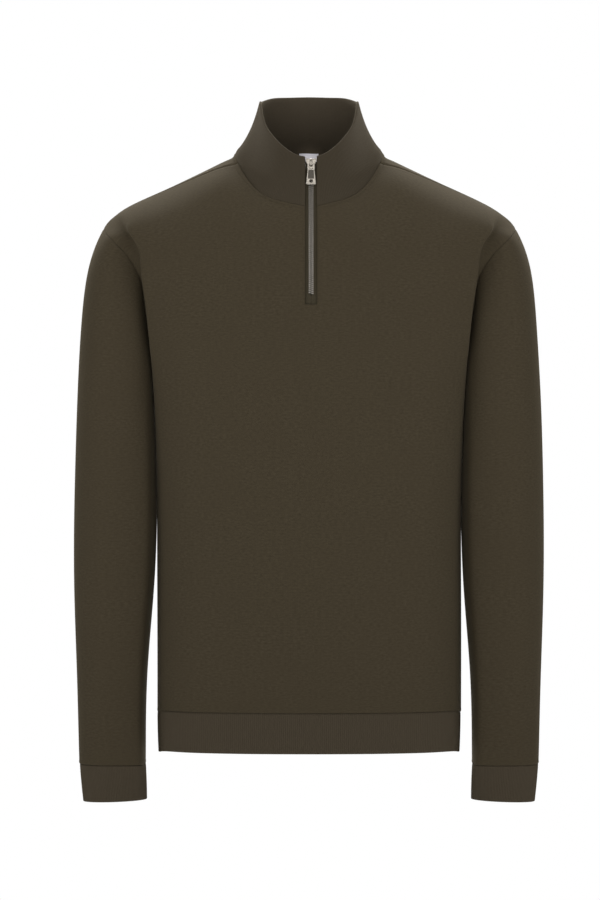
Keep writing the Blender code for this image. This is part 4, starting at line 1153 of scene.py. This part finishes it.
pullTab = {
    "length": 0.0252,
    "topHalf": 0.0044,
    "endHalf": 0.0060,
    "waist": 0.0004,
    "thick": 0.0014,
    "lip": 0.0003,
    "eye": 0.0053,
    "panelSink": 0.00032,
    "panelHalf": 0.0030,
    "hole": 0.0020,
    "holeUp": 0.0042,
}


def tabHalf(share):
    # the tab's half width from its top to its end: a slight waist, then a flare
    waist = pullTab["waist"] * math.sin(math.pi * min(1.0, share * 1.6)) ** 2
    return mix(pullTab["topHalf"], pullTab["endHalf"], share * share) - waist


def makeTab(pinUp, pinOut):
    thick, end = pullTab["thick"], pinUp - pullTab["length"]
    top = pinUp + pullTab["lip"]
    low = pinOut - slider["pin"]
    sides = [(tabHalf(i / 8), mix(top, end + 0.0010, i / 8)) for i in range(9)]
    outline = [(-x, y) for x, y in sides] + [(-0.0047, end), (0.0047, end)] + sides[::-1]
    eyeHalf, eyeLow = slider["bridgeWidth"] / 2 + 0.0006, pinUp - slider["pin"] - pullTab["eye"]
    # the eye is open at the top, where the pin alone passes under the bridge and leaves room to swing
    outline += [(eyeHalf, top), (eyeHalf, eyeLow), (-eyeHalf, eyeLow), (-eyeHalf, top)]
    outline = roundedOutline(outline, 0.0005, 3)
    holeAt = (0.0, end + pullTab["holeUp"])
    hole = ring(pullTab["hole"], holeAt)
    half = pullTab["panelHalf"]
    panelLow, panelHigh = holeAt[1] + pullTab["hole"] + 0.0011, eyeLow - 0.0012
    panel = roundedOutline([(-half, panelHigh), (-half * 1.15, panelLow),
                            (half * 1.15, panelLow), (half, panelHigh)], 0.0006)
    sink, lip = pullTab["panelSink"], ring(pullTab["hole"] + 0.0008, holeAt)
    meshes = [sliderPlate([outline, hole], thick - 2 * sink, 0.0002, 2, low + thick / 2)]
    # the core shows in the sunk panels: a darker, duller nickel, partly its finish and partly painted shade
    # in the recess
    meshes[0].polygons.foreach_set("material_index", [1] * len(meshes[0].polygons))
    # a raised frame on each face leaves the middle panel sunk, and the hole has a raised lip
    for shift in (low + thick - sink, low + sink):
        meshes.append(sliderPlate([outline, hole, panel], 2 * sink, sink * 0.9, 3, shift))
    for shift in (low + thick - 0.00005, low + 0.00005):
        meshes.append(sliderPlate([lip, hole], 0.0005, 0.00022, 3, shift))
    across = Matrix.Rotation(math.radians(90), 4, "Y")
    work = bmesh.new()
    bmesh.ops.create_cone(work, cap_ends=True, segments=24, radius1=slider["pin"], radius2=slider["pin"],
                          depth=2 * (pullTab["topHalf"] - 0.0005),
                          matrix=Matrix.Translation((0.0, pinUp, pinOut)) @ across)
    pin = bpy.data.meshes.new("pin")
    work.to_mesh(pin)
    work.free()
    meshes.append(sliderPiece(pin))
    made = joinMeshes("pull_tab_plate", meshes, [materials["nickel"], materials["nickelDullShaded"]])
    turnOutwards(made)
    return made


neckLabel = {
    "half": 0.0118,
    "drop": 0.0200,
    "thick": 0.0007,
    "clear": 0.0023,                # how far in front of the back's inner skin it hangs
    "bow": 0.0004,
}


def makeLabel(form):
    # a blank woven label folded in two, which hangs from the neck seam inside the back
    points, faces, _, panels = form
    back = sorted({(round(p[2], 6), round(p[1], 6)) for p in points[np.unique(faces[panels == backPart])]
                   if abs(p[0]) < 1e-5 and p[1] > 0.03})[::4]
    top = bodyForm["neckBack"][0][2] + 0.0004
    rows, columns = 22, 15
    points = []
    for r in range(2 * rows):
        front = r >= rows
        t = r / (rows - 1) if not front else (2 * rows - 1 - r) / (rows - 1)
        level = mix(top, top - neckLabel["drop"], t)
        y = readTable(back, level, 1) - cloth["jersey"] - neckLabel["clear"]
        fold = math.sqrt(max(0.0, 1 - t ** 12))
        for c in range(columns):
            u = 2 * c / (columns - 1) - 1
            bow = neckLabel["bow"] * (1 - u * u) * t
            gap = (neckLabel["thick"] if front else 0.0) * (0.25 + 0.75 * fold)
            points.append((u * neckLabel["half"], y - gap - bow, level - 0.0002 * math.sin(3 * u)))
    faces = gridFaces(2 * rows, columns, False)
    cuts = gridCuts(spaced(0.0, 2 * neckLabel["half"], columns),
                    spaced(0.0, 2 * neckLabel["drop"], 2 * rows), False)
    count, woven = 2 * rows, len(faces)
    for c in range(columns - 1):
        faces.append(((count - 1) * columns + c, (count - 1) * columns + c + 1, c + 1, c))
    for end in (0, columns - 1):
        for r in range(rows - 1):
            other = count - 1 - r
            faces.append(tuple(i * columns + end for i in (r, r + 1, other - 1, other)))
    cuts += [((0.0, 0.0),) * 4] * (len(faces) - woven)
    made = addMesh("neck_label_woven", points, faces, cuts, (materials["label"],), smoothAngle=60)
    turnOutwards(made)
    return made


stitching = {
    "pitch": 0.0029,
    "length": 0.0024,
    "radius": 0.00024,
    "rise": 0.00006,
    "sides": 6,
    "besideSlot": (0.0024, 0.0050), # on the body and on the collar
    "belowNeck": 0.0034,
    "clear": 0.0030,                # how far the rows stop short of the neck seam and the collar's edge
    "corner": 0.0044,               # how far below the slot the side rows start, and where the foot row runs
    "foot": 0.0056,
}


def stitchRow(points, normals):
    # short rounded stitches that dip into the cloth at both ends
    line = np.array([tuple(p) for p in points])
    steps = lengthsAlong(line)
    outs = np.array([tuple(n) for n in normals])

    def at(distance):
        place = Vector([np.interp(distance, steps, line[:, i]) for i in range(3)])
        out = Vector([np.interp(distance, steps, outs[:, i]) for i in range(3)]).normalized()
        return place, out
    count = int(steps[-1] / stitching["pitch"])
    sides = stitching["sides"]
    vertices, faces = [], []
    half = ((0.0, -1.6, 0.55), (0.12, 0.1, 0.9), (0.35, 0.9, 1.0))     # share, height and thickness
    arc = half + tuple((1.0 - share, lift, size) for share, lift, size in half[::-1])
    for n in range(count):
        start = (n + 0.5) * steps[-1] / count - stitching["length"] / 2
        base = len(vertices)
        for share, lift, size in arc:
            place, out = at(start + share * stitching["length"])
            ahead = at(start + share * stitching["length"] + 0.0004)[0]
            along = (ahead - place).normalized()
            across = along.cross(out).normalized()
            centre = place + out * stitching["rise"] * lift
            for s in range(sides):
                a = 2 * math.pi * s / sides
                around = across * math.cos(a) + out * math.sin(a)
                vertices.append(centre + around * stitching["radius"] * size)
        faces += [tuple(base + i for i in face) for face in gridFaces(6, sides, True)]
        faces.append(tuple(base + s for s in range(sides))[::-1])
        faces.append(tuple(base + 5 * sides + s for s in range(sides)))
    return vertices, faces


def makeStitches(name, rows):
    vertices, faces = [], []
    for points, normals in rows:
        some, ring = stitchRow(points, normals)
        start = len(vertices)
        vertices += some
        faces += [tuple(start + i for i in face) for face in ring]
    mesh = bpy.data.meshes.new(name)
    mesh.from_pydata(vertices, [], faces)
    mesh.materials.append(materials["thread"])
    mesh.shade_smooth()
    made = linkObject(name, mesh)
    turnOutwards(made)
    return made


def surfaceTree(pieces):
    points, faces = [], []
    for piece in pieces:
        start = len(points)
        points += [v.co.copy() for v in piece.data.vertices]
        faces += [tuple(start + i for i in p.vertices) for p in piece.data.polygons]
    return BVHTree.FromPolygons(points, faces)


def droppedOn(tree, points, outs):
    # points laid on a surface from outside, with its directions
    places, normals = [], []
    for point, out in zip(points, outs):
        hit, normal, _, _ = tree.ray_cast(Vector(point) + Vector(out) * 0.012, -Vector(out), 0.03)
        if hit is None:
            continue
        places.append(hit)
        normals.append(normal if normal.dot(Vector(out)) > 0 else -normal)
    return places, normals


# Colours are sRGB hex; this turns one to the linear values that nodes take.
def linear(code, alpha=1.0):
    values = [int(code[i:i + 2], 16) / 255 for i in (1, 3, 5)]
    return tuple(v / 12.92 if v <= 0.04045 else ((v + 0.055) / 1.055) ** 2.4 for v in values) + (alpha,)


def addNode(tree, kind, settings=None, links=None):
    # settings go to the node or its sockets; a link comes from a node's first output, or a named one
    node = tree.nodes.new(kind)
    for name, value in (settings or {}).items():
        if isinstance(name, str) and hasattr(node, name):
            setattr(node, name, value)
        else:
            node.inputs[name].default_value = value
    for socket, source in (links or {}).items():
        source, output = source if isinstance(source, tuple) else (source, 0)
        tree.links.new(source.outputs[output], node.inputs[socket])
    return node


def newMaterial(name):
    made = bpy.data.materials.new(name)
    made.use_nodes = True
    made.node_tree.nodes.clear()
    return made, made.node_tree


def addSurface(tree, settings, links):
    shader = addNode(tree, "ShaderNodeBsdfPrincipled", settings, links)
    addNode(tree, "ShaderNodeOutputMaterial", None, {"Surface": shader})


def bands(direction, period, distortion, detailScale=None):
    # a wave texture's settings for bands this many metres apart
    settings = {"bands_direction": direction, "Scale": 2 * math.pi / 20 / period, "Distortion": distortion}
    return settings | ({"Detail": 1.0, "Detail Scale": detailScale} if detailScale else {})


def blend(dark, light):
    return {"data_type": "RGBA", 6: linear(dark), 7: linear(light)}


def remap(fromMin, fromMax, toMin, toMax):
    return {"From Min": fromMin, "From Max": fromMax, "To Min": toMin, "To Max": toMax}


product = {"operation": "MULTIPLY"}
fibreSheen = {"IOR": 1.5, "Specular IOR Level": 0.12,
              "Sheen Roughness": 0.40, "Sheen Tint": linear("#C8BA9C")}
mixColour = 2                           # the output of a mix node that carries colour

jerseyLook = {
    "yarn": "#41392B",
    "yarnLight": "#4E4636",
    "yarnDark": "#352E22",
    "walePitch": 0.0018,                # a real 0.9 mm wale, drawn twice as coarse so that it shows
    "coursePitch": 0.0016,
    "sheen": 0.15,
}


def makeJersey(name, look, brushed):
    # combed cotton and polyester sweatshirt jersey, knitted and lightly brushed: matt, with a soft
    # pale bloom where it turns away and fine mottling from the fibres
    made, tree = newMaterial(name)
    measure = addNode(tree, "ShaderNodeUVMap", {"uv_map": "cloth"})
    place = addNode(tree, "ShaderNodeTexCoord")
    stretched = addNode(tree, "ShaderNodeMapping", {"Scale": (0.42, 1.0, 1.0)}, {"Vector": measure})
    mottle = addNode(tree, "ShaderNodeTexNoise", {"Scale": 520.0, "Detail": 3.0, "Roughness": 0.6},
                     {"Vector": stretched})
    patches = addNode(tree, "ShaderNodeTexNoise", {"Scale": 26.0, "Detail": 2.0},
                      {"Vector": (place, "Object")})
    nap = addNode(tree, "ShaderNodeTexNoise", {"Scale": 1500.0, "Detail": 4.0, "Roughness": 0.7},
                  {"Vector": (place, "Object")})
    wales = addNode(tree, "ShaderNodeTexWave", bands("X", look["walePitch"], 1.2, 400.0), {"Vector": measure})
    courses = addNode(tree, "ShaderNodeTexWave", bands("Y", look["coursePitch"], 2.0, 300.0),
                      {"Vector": measure})
    loops = addNode(tree, "ShaderNodeMath", product, {0: (wales, "Fac"), 1: (courses, "Fac")})
    contrast = addNode(tree, "ShaderNodeMapRange", remap(0.24, 0.76, 0.0, 1.0), {"Value": (mottle, "Fac")})
    base = addNode(tree, "ShaderNodeMix", blend(look["yarnDark"], look["yarnLight"]), {0: contrast})
    wash = addNode(tree, "ShaderNodeMapRange", remap(0.3, 0.7, 0.35, 0.65), {"Value": (patches, "Fac")})
    tone = addNode(tree, "ShaderNodeMix", {"data_type": "RGBA", 7: linear(look["yarn"])},
                   {0: wash, 6: (base, mixColour)})
    # the loops' shade, and painted shade: the cloth a little darker right in its seams, where shade falls
    seam = addNode(tree, "ShaderNodeAttribute", {"attribute_name": "seamDistance"})
    paintedSeamShade = addNode(tree, "ShaderNodeMapRange", remap(0.0, 0.0013, 0.84, 1.0), {"Value": (seam, "Fac")})
    shade = addNode(tree, "ShaderNodeMapRange", remap(0.0, 0.8, 0.97, 1.03), {"Value": loops})
    both = addNode(tree, "ShaderNodeMath", product, {0: shade, 1: paintedSeamShade})
    final = addNode(tree, "ShaderNodeVectorMath", {"operation": "SCALE"},
                    {0: (tone, mixColour), "Scale": both})
    height = addNode(tree, "ShaderNodeMath", {"operation": "MULTIPLY_ADD", 1: 0.6},
                     {0: loops, 2: (nap, "Fac")})
    strength, depth = (0.8, 0.0006) if brushed else (0.35, 0.00012)
    bump = addNode(tree, "ShaderNodeBump", {"Strength": strength, "Distance": depth}, {"Height": height})
    addSurface(tree, fibreSheen | {"Roughness": 0.88, "Sheen Weight": look["sheen"]},
               {"Base Color": final, "Normal": bump})
    return made


def makeRib(name, light, dark, furrow):
    # one-by-one cotton rib with a little elastane: rounded wales that catch the light, with painted shade
    # darkening the furrows
    made, tree = newMaterial(name)
    measure = addNode(tree, "ShaderNodeUVMap", {"uv_map": "cloth"})
    place = addNode(tree, "ShaderNodeTexCoord")
    rib = addNode(tree, "ShaderNodeAttribute", {"attribute_name": "ribHeight"})
    courses = addNode(tree, "ShaderNodeTexWave", bands("Y", 0.0013, 1.0, 300.0), {"Vector": measure})
    nap = addNode(tree, "ShaderNodeTexNoise", {"Scale": 1400.0, "Detail": 4.0, "Roughness": 0.7},
                  {"Vector": (place, "Object")})
    mottle = addNode(tree, "ShaderNodeTexNoise", {"Scale": 420.0, "Detail": 3.0},
                     {"Vector": (place, "Object")})
    speck = addNode(tree, "ShaderNodeMapRange", remap(0.3, 0.7, 0.96, 1.04), {"Value": (mottle, "Fac")})
    # painted shade: the colour darker down in the furrows, by each point's rib height; furrow sets how dark
    deep = addNode(tree, "ShaderNodeMapRange", remap(0.0, 0.55, furrow, 1.0), {"Value": (rib, "Fac")})
    colour = addNode(tree, "ShaderNodeMix", blend(dark, light), {0: (courses, "Fac")})
    both = addNode(tree, "ShaderNodeMath", product, {0: speck, 1: deep})
    final = addNode(tree, "ShaderNodeVectorMath", {"operation": "SCALE"},
                    {0: (colour, mixColour), "Scale": both})
    height = addNode(tree, "ShaderNodeMath", {"operation": "MULTIPLY_ADD", 1: 0.5},
                     {0: (courses, "Fac"), 2: (nap, "Fac")})
    bump = addNode(tree, "ShaderNodeBump", {"Strength": 0.30, "Distance": 0.00010}, {"Height": height})
    addSurface(tree, fibreSheen | {"Roughness": 0.86, "Sheen Weight": 0.20},
               {"Base Color": final, "Normal": bump})
    return made


def makeTapeMaterial():
    # woven polyester zip tape: a fine herringbone with a faint satin gloss
    made, tree = newMaterial("wovenPolyesterTape")
    measure = addNode(tree, "ShaderNodeUVMap", {"uv_map": "cloth"})
    tilted = addNode(tree, "ShaderNodeMapping", {"Rotation": (0.0, 0.0, math.radians(38))},
                     {"Vector": measure})
    twill = addNode(tree, "ShaderNodeTexWave", bands("X", 0.0011, 0.4, 300.0), {"Vector": tilted})
    fibres = addNode(tree, "ShaderNodeTexNoise", {"Scale": 900.0, "Detail": 3.0}, {"Vector": measure})
    colour = addNode(tree, "ShaderNodeMix", blend("#353024", "#484132"), {0: (twill, "Fac")})
    height = addNode(tree, "ShaderNodeMath", {"operation": "MULTIPLY_ADD", 1: 0.3},
                     {0: (fibres, "Fac"), 2: (twill, "Fac")})
    bump = addNode(tree, "ShaderNodeBump", {"Strength": 0.6, "Distance": 0.00015}, {"Height": height})
    addSurface(tree, {"Roughness": 0.78, "IOR": 1.5, "Specular IOR Level": 0.15},
               {"Base Color": (colour, mixColour), "Normal": bump})
    return made


def makeNickel(name, dark, light, low, high):
    # nickel plated zinc, tumbled and then handled: a warm satin shine, fine scratches, uneven tarnish; its
    # darker, duller copy is partly a duller finish, partly painted shade
    made, tree = newMaterial(name)
    place = addNode(tree, "ShaderNodeTexCoord")
    stretched = addNode(tree, "ShaderNodeMapping", {"Scale": (1.0, 1.0, 0.12)}, {"Vector": (place, "Object")})
    scratches = addNode(tree, "ShaderNodeTexNoise", {"Scale": 5200.0, "Detail": 3.0, "Roughness": 0.6},
                        {"Vector": stretched})
    tarnish = addNode(tree, "ShaderNodeTexNoise", {"Scale": 700.0, "Detail": 3.0},
                      {"Vector": (place, "Object")})
    dull = addNode(tree, "ShaderNodeMapRange", remap(0.3, 0.7, low, high), {"Value": (tarnish, "Fac")})
    colour = addNode(tree, "ShaderNodeMix", blend(dark, light), {0: (tarnish, "Fac")})
    bump = addNode(tree, "ShaderNodeBump", {"Strength": 0.25, "Distance": 0.00004},
                   {"Height": (scratches, "Fac")})
    addSurface(tree, {"Metallic": 1.0},
               {"Base Color": (colour, mixColour), "Roughness": dull, "Normal": bump})
    return made


def makeLabelMaterial():
    # damask woven polyester label, bare: cool white with fine weft lines and a satin bloom
    made, tree = newMaterial("damaskLabel")
    measure = addNode(tree, "ShaderNodeUVMap", {"uv_map": "cloth"})
    weft = addNode(tree, "ShaderNodeTexWave", bands("Y", 0.0007, 0.5), {"Vector": measure})
    warp = addNode(tree, "ShaderNodeTexWave", bands("X", 0.0006, 0.5), {"Vector": measure})
    weave = addNode(tree, "ShaderNodeMath", product, {0: (weft, "Fac"), 1: (warp, "Fac")})
    colour = addNode(tree, "ShaderNodeMix", blend("#F0ECF5", "#FFFDFF"), {0: weave})
    bump = addNode(tree, "ShaderNodeBump", {"Strength": 0.5, "Distance": 0.0001}, {"Height": weave})
    addSurface(tree, {"Roughness": 0.55, "IOR": 1.5, "Sheen Weight": 0.3},
               {"Base Color": (colour, mixColour), "Normal": bump})
    return made


def makeThread():
    # spun polyester sewing thread: two plies twisted, a touch smoother than the cloth
    made, tree = newMaterial("spunPolyesterThread")
    place = addNode(tree, "ShaderNodeTexCoord")
    twist = addNode(tree, "ShaderNodeTexWave", bands("DIAGONAL", 0.0006, 0.6), {"Vector": (place, "Object")})
    colour = addNode(tree, "ShaderNodeMix", blend("#3A3327", "#4A4233"), {0: (twist, "Fac")})
    bump = addNode(tree, "ShaderNodeBump", {"Strength": 0.4, "Distance": 0.00008}, {"Height": (twist, "Fac")})
    addSurface(tree, {"Roughness": 0.75, "IOR": 1.5, "Specular IOR Level": 0.12},
               {"Base Color": (colour, mixColour), "Normal": bump})
    return made


fleeceLook = jerseyLook | {"yarn": "#3E372A", "yarnLight": "#494133", "yarnDark": "#322C21"}
materials = {
    "jersey": makeJersey("brushedCottonJersey", jerseyLook, False),
    "fleece": makeJersey("brushedFleeceInside", fleeceLook, True),
    # the last number of each rib: how dark the painted shade in its furrows is
    "rib": makeRib("cottonRibBand", "#494134", "#463E32", 0.72),
    "collarRib": makeRib("cottonRibCollar", "#3F382C", "#3D362B", 0.88),
    # painted light: the collar's inside is the same rib as its outside, made lighter to make up for the shade
    # inside the neck
    "collarInside": makeRib("cottonRibCollarInside", "#4B4337", "#494135", 0.96),
    "tape": makeTapeMaterial(),
    "nickel": makeNickel("satinNickelPlate", "#857F76", "#B3ACA1", 0.20, 0.36),
    # partly a duller finish, partly painted shade: the tab's sunk panel darker than the rest of the nickel
    "nickelDullShaded": makeNickel("dulledShadedNickelPlate", "#4B4741", "#69645C", 0.36, 0.52),
    "nickelTeeth": makeNickel("satinNickelTeeth", "#7A756D", "#A19B93", 0.26, 0.40),
    "label": makeLabelMaterial(),
    "thread": makeThread(),
}
print("materials ready")

form = fittedForm(cloth["fineness"])
pressSleeves(form[0], form[1], form[3])
formNormals = vertexNormals(form[0], form[1])
owners = {}
for face, panel in zip(form[1].tolist(), form[3].tolist()):
    for v in face:
        owners.setdefault(v, set()).add(panel)
print("form ready:", len(form[1]), "faces")

pieces = {}
for part, node in enumerate(panelNames):
    piece = makePanel(part, form, formNormals, owners)
    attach(piece, "garment")
    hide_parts(node)
    pieces[node] = piece
print("panels ready")

pieces["hem_band"], hemCut = makeHem(form)
for node in ("front_panel", "back_panel", "hem_band"):
    dropSides(pieces[node])
pieces["cuff_left"], cuffCut = makeCuff("cuff_left_rib", form, leftPart, 1)
pieces["cuff_right"], _ = makeCuff("cuff_right_rib", form, rightPart, -1)
pieces["collar"], collarGrid, collarCut = makeCollar(form)
for node in ("hem_band", "cuff_left", "cuff_right", "collar"):
    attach(pieces[node], "garment")
    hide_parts(node)
print("ribs ready")

zipper["path"] = zipPath(form, collarGrid)
teeth = makeTeeth()
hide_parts("zip_chain")
tapes = [makeTape("zip_tape_left_woven", 1), makeTape("zip_tape_right_woven", -1)]
for tape, node in zip(tapes, ("zip_tape_left", "zip_tape_right")):
    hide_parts(node)
sliderBody = makeSlider()
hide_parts("zip_slider")
tab = makeTab(*pinPlace())
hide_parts("pull_tab")
label = makeLabel(form)
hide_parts("neck_label")
for piece in (teeth, sliderBody, label, *tapes):
    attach(piece, "garment")
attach(tab, "pull_tab")
print("zip ready")

# topstitching: along the neck seam, and round the zip's window
bodyTree = surfaceTree([pieces["front_panel"], pieces["back_panel"]])
collarTree = surfaceTree([pieces["collar"]])
neck = neckLine(form)[0]
neckBelow, neckOut = [], []
neckTilt = Vector((0.0, 0.0, 0.8))      # the cloth below the neck seam faces out and up
for i in range(len(neck)):
    upWay = Vector(collarGrid[3][i]) - Vector(collarGrid[0][i])
    along = Vector(neck[min(i + 1, len(neck) - 1)] - neck[max(i - 1, 0)]).normalized()
    outWay = Vector((neck[i][0], neck[i][1], 0.06)).normalized()
    down = along.cross(outWay).normalized()
    if down.dot(upWay) > 0:
        down = -down
    neckBelow.append(Vector(neck[i]) + down * stitching["belowNeck"])
    neckOut.append((Vector((neck[i][0], neck[i][1], 0.0)).normalized() + neckTilt).normalized())
sewn = [droppedOn(bodyTree, neckBelow[24:-24:6], neckOut[24:-24:6])]
lineBody, lineCollar = (zipper["slotHalf"] + beside for beside in stitching["besideSlot"])
neckZ, slotZ = bodyForm["neckFront"][0][2], zipper["slotBottom"]
bodyLevels = spaced(slotZ - stitching["corner"], neckZ - stitching["clear"], 60)
collarLevels = spaced(neckZ + stitching["clear"], -stitching["clear"], 26)
lines = []
for side in (1, -1):
    lines.append((bodyTree, [(side * lineBody, level) for level in bodyLevels]))
    lines.append((collarTree, [(side * lineCollar, level) for level in collarLevels]))
lines.append((bodyTree, [(x, slotZ - stitching["foot"]) for x in spaced(-lineBody, lineBody, 16)]))
for tree, spots in lines:
    spots = [onZip(level)[0] + Vector((x, 0.0, 0.0)) for x, level in spots]
    sewn.append(droppedOn(tree, spots, [(0.0, -1.0, 0.0)] * len(spots)))
stitches = makeStitches("topstitching", [row for row in sewn if len(row[0]) > 3])
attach(stitches, "garment")
print("stitching ready")

studio = {
    "cameraPlace": (-0.0108, -4.5, -0.3456),
    "lens": 150,
    "floorZ": -0.99,
    "floorRadius": 0.85,
    # how bright the soft light is at each height, from straight below (0) to straight above (1)
    "sky": ((0.0, 0.85), (0.30, 1.28), (0.45, 1.40), (0.60, 1.34), (0.67, 0.34), (1.0, 0.10)),
    "behind": 0.16,                 # how much of it comes from behind
}
lamps = {
    # place, aim, width and height, watts
    "topBox": ((0.0, 0.1, 1.3), (0.0, 0.0, -0.3), (1.8, 1.0), 16.0),
    "rimBox": ((0.0, 1.4, 1.5), (0.0, 0.0, -0.2), (1.6, 0.6), 26.0),
    "frontBox": ((0.0, -1.3, 0.62), (0.0, 0.0, -0.05), (0.5, 0.35), 1.4),
    "backBox": ((0.0, 2.8, 0.2), (0.0, 0.0, -0.3), (1.8, 1.8), 40.0),
    # place, aim, cone in degrees, watts, how soft the cone's edge and how large the lamp
    "neckSpot": ((0.0, -0.75, 1.05), (0.0, 0.055, 0.03), 6.0, 7.0, 0.7, 0.05),
    "labelSpot": ((0.0, -1.50, 0.40), (0.0, 0.072, 0.004), 1.0, 54.0, 0.15, 0.01),
    "leftSpot": ((1.3, 0.85, 0.35), (0.085, 0.0, 0.03), 11.0, 95.0, 0.7, 0.16),
    "rightSpot": ((-1.3, 0.85, 0.35), (-0.085, 0.0, 0.03), 11.0, 95.0, 0.7, 0.16),
}


def addLight(name, place, aim, size, power, edge=0.0, lamp=0.0):
    # a soft box of this width and height, or a spot with a cone this many degrees wide
    light = bpy.data.lights.new(name, "AREA" if isinstance(size, tuple) else "SPOT")
    if isinstance(size, tuple):
        light.shape = "RECTANGLE"
        light.size, light.size_y = size
    else:
        light.spot_size, light.spot_blend, light.shadow_soft_size = math.radians(size), edge, lamp
    light.energy = power
    made = linkObject(name, light)
    made.location = place
    made.rotation_euler = (Vector(aim) - Vector(place)).to_track_quat("-Z", "Y").to_euler()
    made.visible_camera = False


def makeStudio():
    world = bpy.data.worlds.new("studio")
    bpy.context.scene.world = world
    world.use_nodes = True
    tree = world.node_tree
    tree.nodes.clear()
    # the backdrop shows pure white; what it lights is softer, brighter above and in front
    direction = addNode(tree, "ShaderNodeTexCoord")
    parts = addNode(tree, "ShaderNodeSeparateXYZ", None, {"Vector": (direction, "Generated")})
    height = addNode(tree, "ShaderNodeMapRange", {"From Min": -1.0}, {"Value": (parts, "Z")})
    grades = addNode(tree, "ShaderNodeValToRGB", None, {"Fac": height})
    ramp = grades.color_ramp
    for i, (place, level) in enumerate(studio["sky"]):
        stop = ramp.elements[i] if i < 2 else ramp.elements.new(place)
        stop.position = place
        stop.color = (level, level, level, 1.0)
    facing = addNode(tree, "ShaderNodeMapRange", remap(-0.15, 0.25, 1.0, studio["behind"]),
                     {"Value": (parts, "Y")})
    level = addNode(tree, "ShaderNodeMath", product, {0: grades, 1: facing})
    white = {"Color": (1.0, 1.0, 1.0, 1.0)}
    soft = addNode(tree, "ShaderNodeBackground", white, {"Strength": level})
    backdrop = addNode(tree, "ShaderNodeBackground", white | {"Strength": 1.0})
    ray = addNode(tree, "ShaderNodeLightPath")
    both = addNode(tree, "ShaderNodeMixShader", None, {0: (ray, "Is Camera Ray"), 1: soft, 2: backdrop})
    addNode(tree, "ShaderNodeOutputWorld", None, {"Surface": both})
    for name, values in lamps.items():
        addLight(name, *values)
    rim = [(x, y, studio["floorZ"]) for x, y in ring(studio["floorRadius"], steps=96)]
    floor = addMesh("floor", rim, [tuple(range(len(rim)))])
    paint, tree = newMaterial("paleFloorPaint")
    grain = addNode(tree, "ShaderNodeTexNoise", {"Scale": 2.0})
    colour = addNode(tree, "ShaderNodeMix", blend("#FAFAFA", "#FDFDFD"), {0: (grain, "Fac")})
    addSurface(tree, {"Roughness": 0.9}, {"Base Color": (colour, mixColour)})
    floor.data.materials.append(paint)
    data = bpy.data.cameras.new("camera")
    data.lens = studio["lens"]
    data.sensor_width = 36
    data.clip_end = 60
    camera = linkObject("camera", data)
    camera.location = studio["cameraPlace"]
    camera.rotation_euler = (math.pi / 2, 0.0, 0.0)
    bpy.context.scene.camera = camera
    bpy.context.scene.view_settings.view_transform = "Standard"


makeStudio()
print("studio ready")
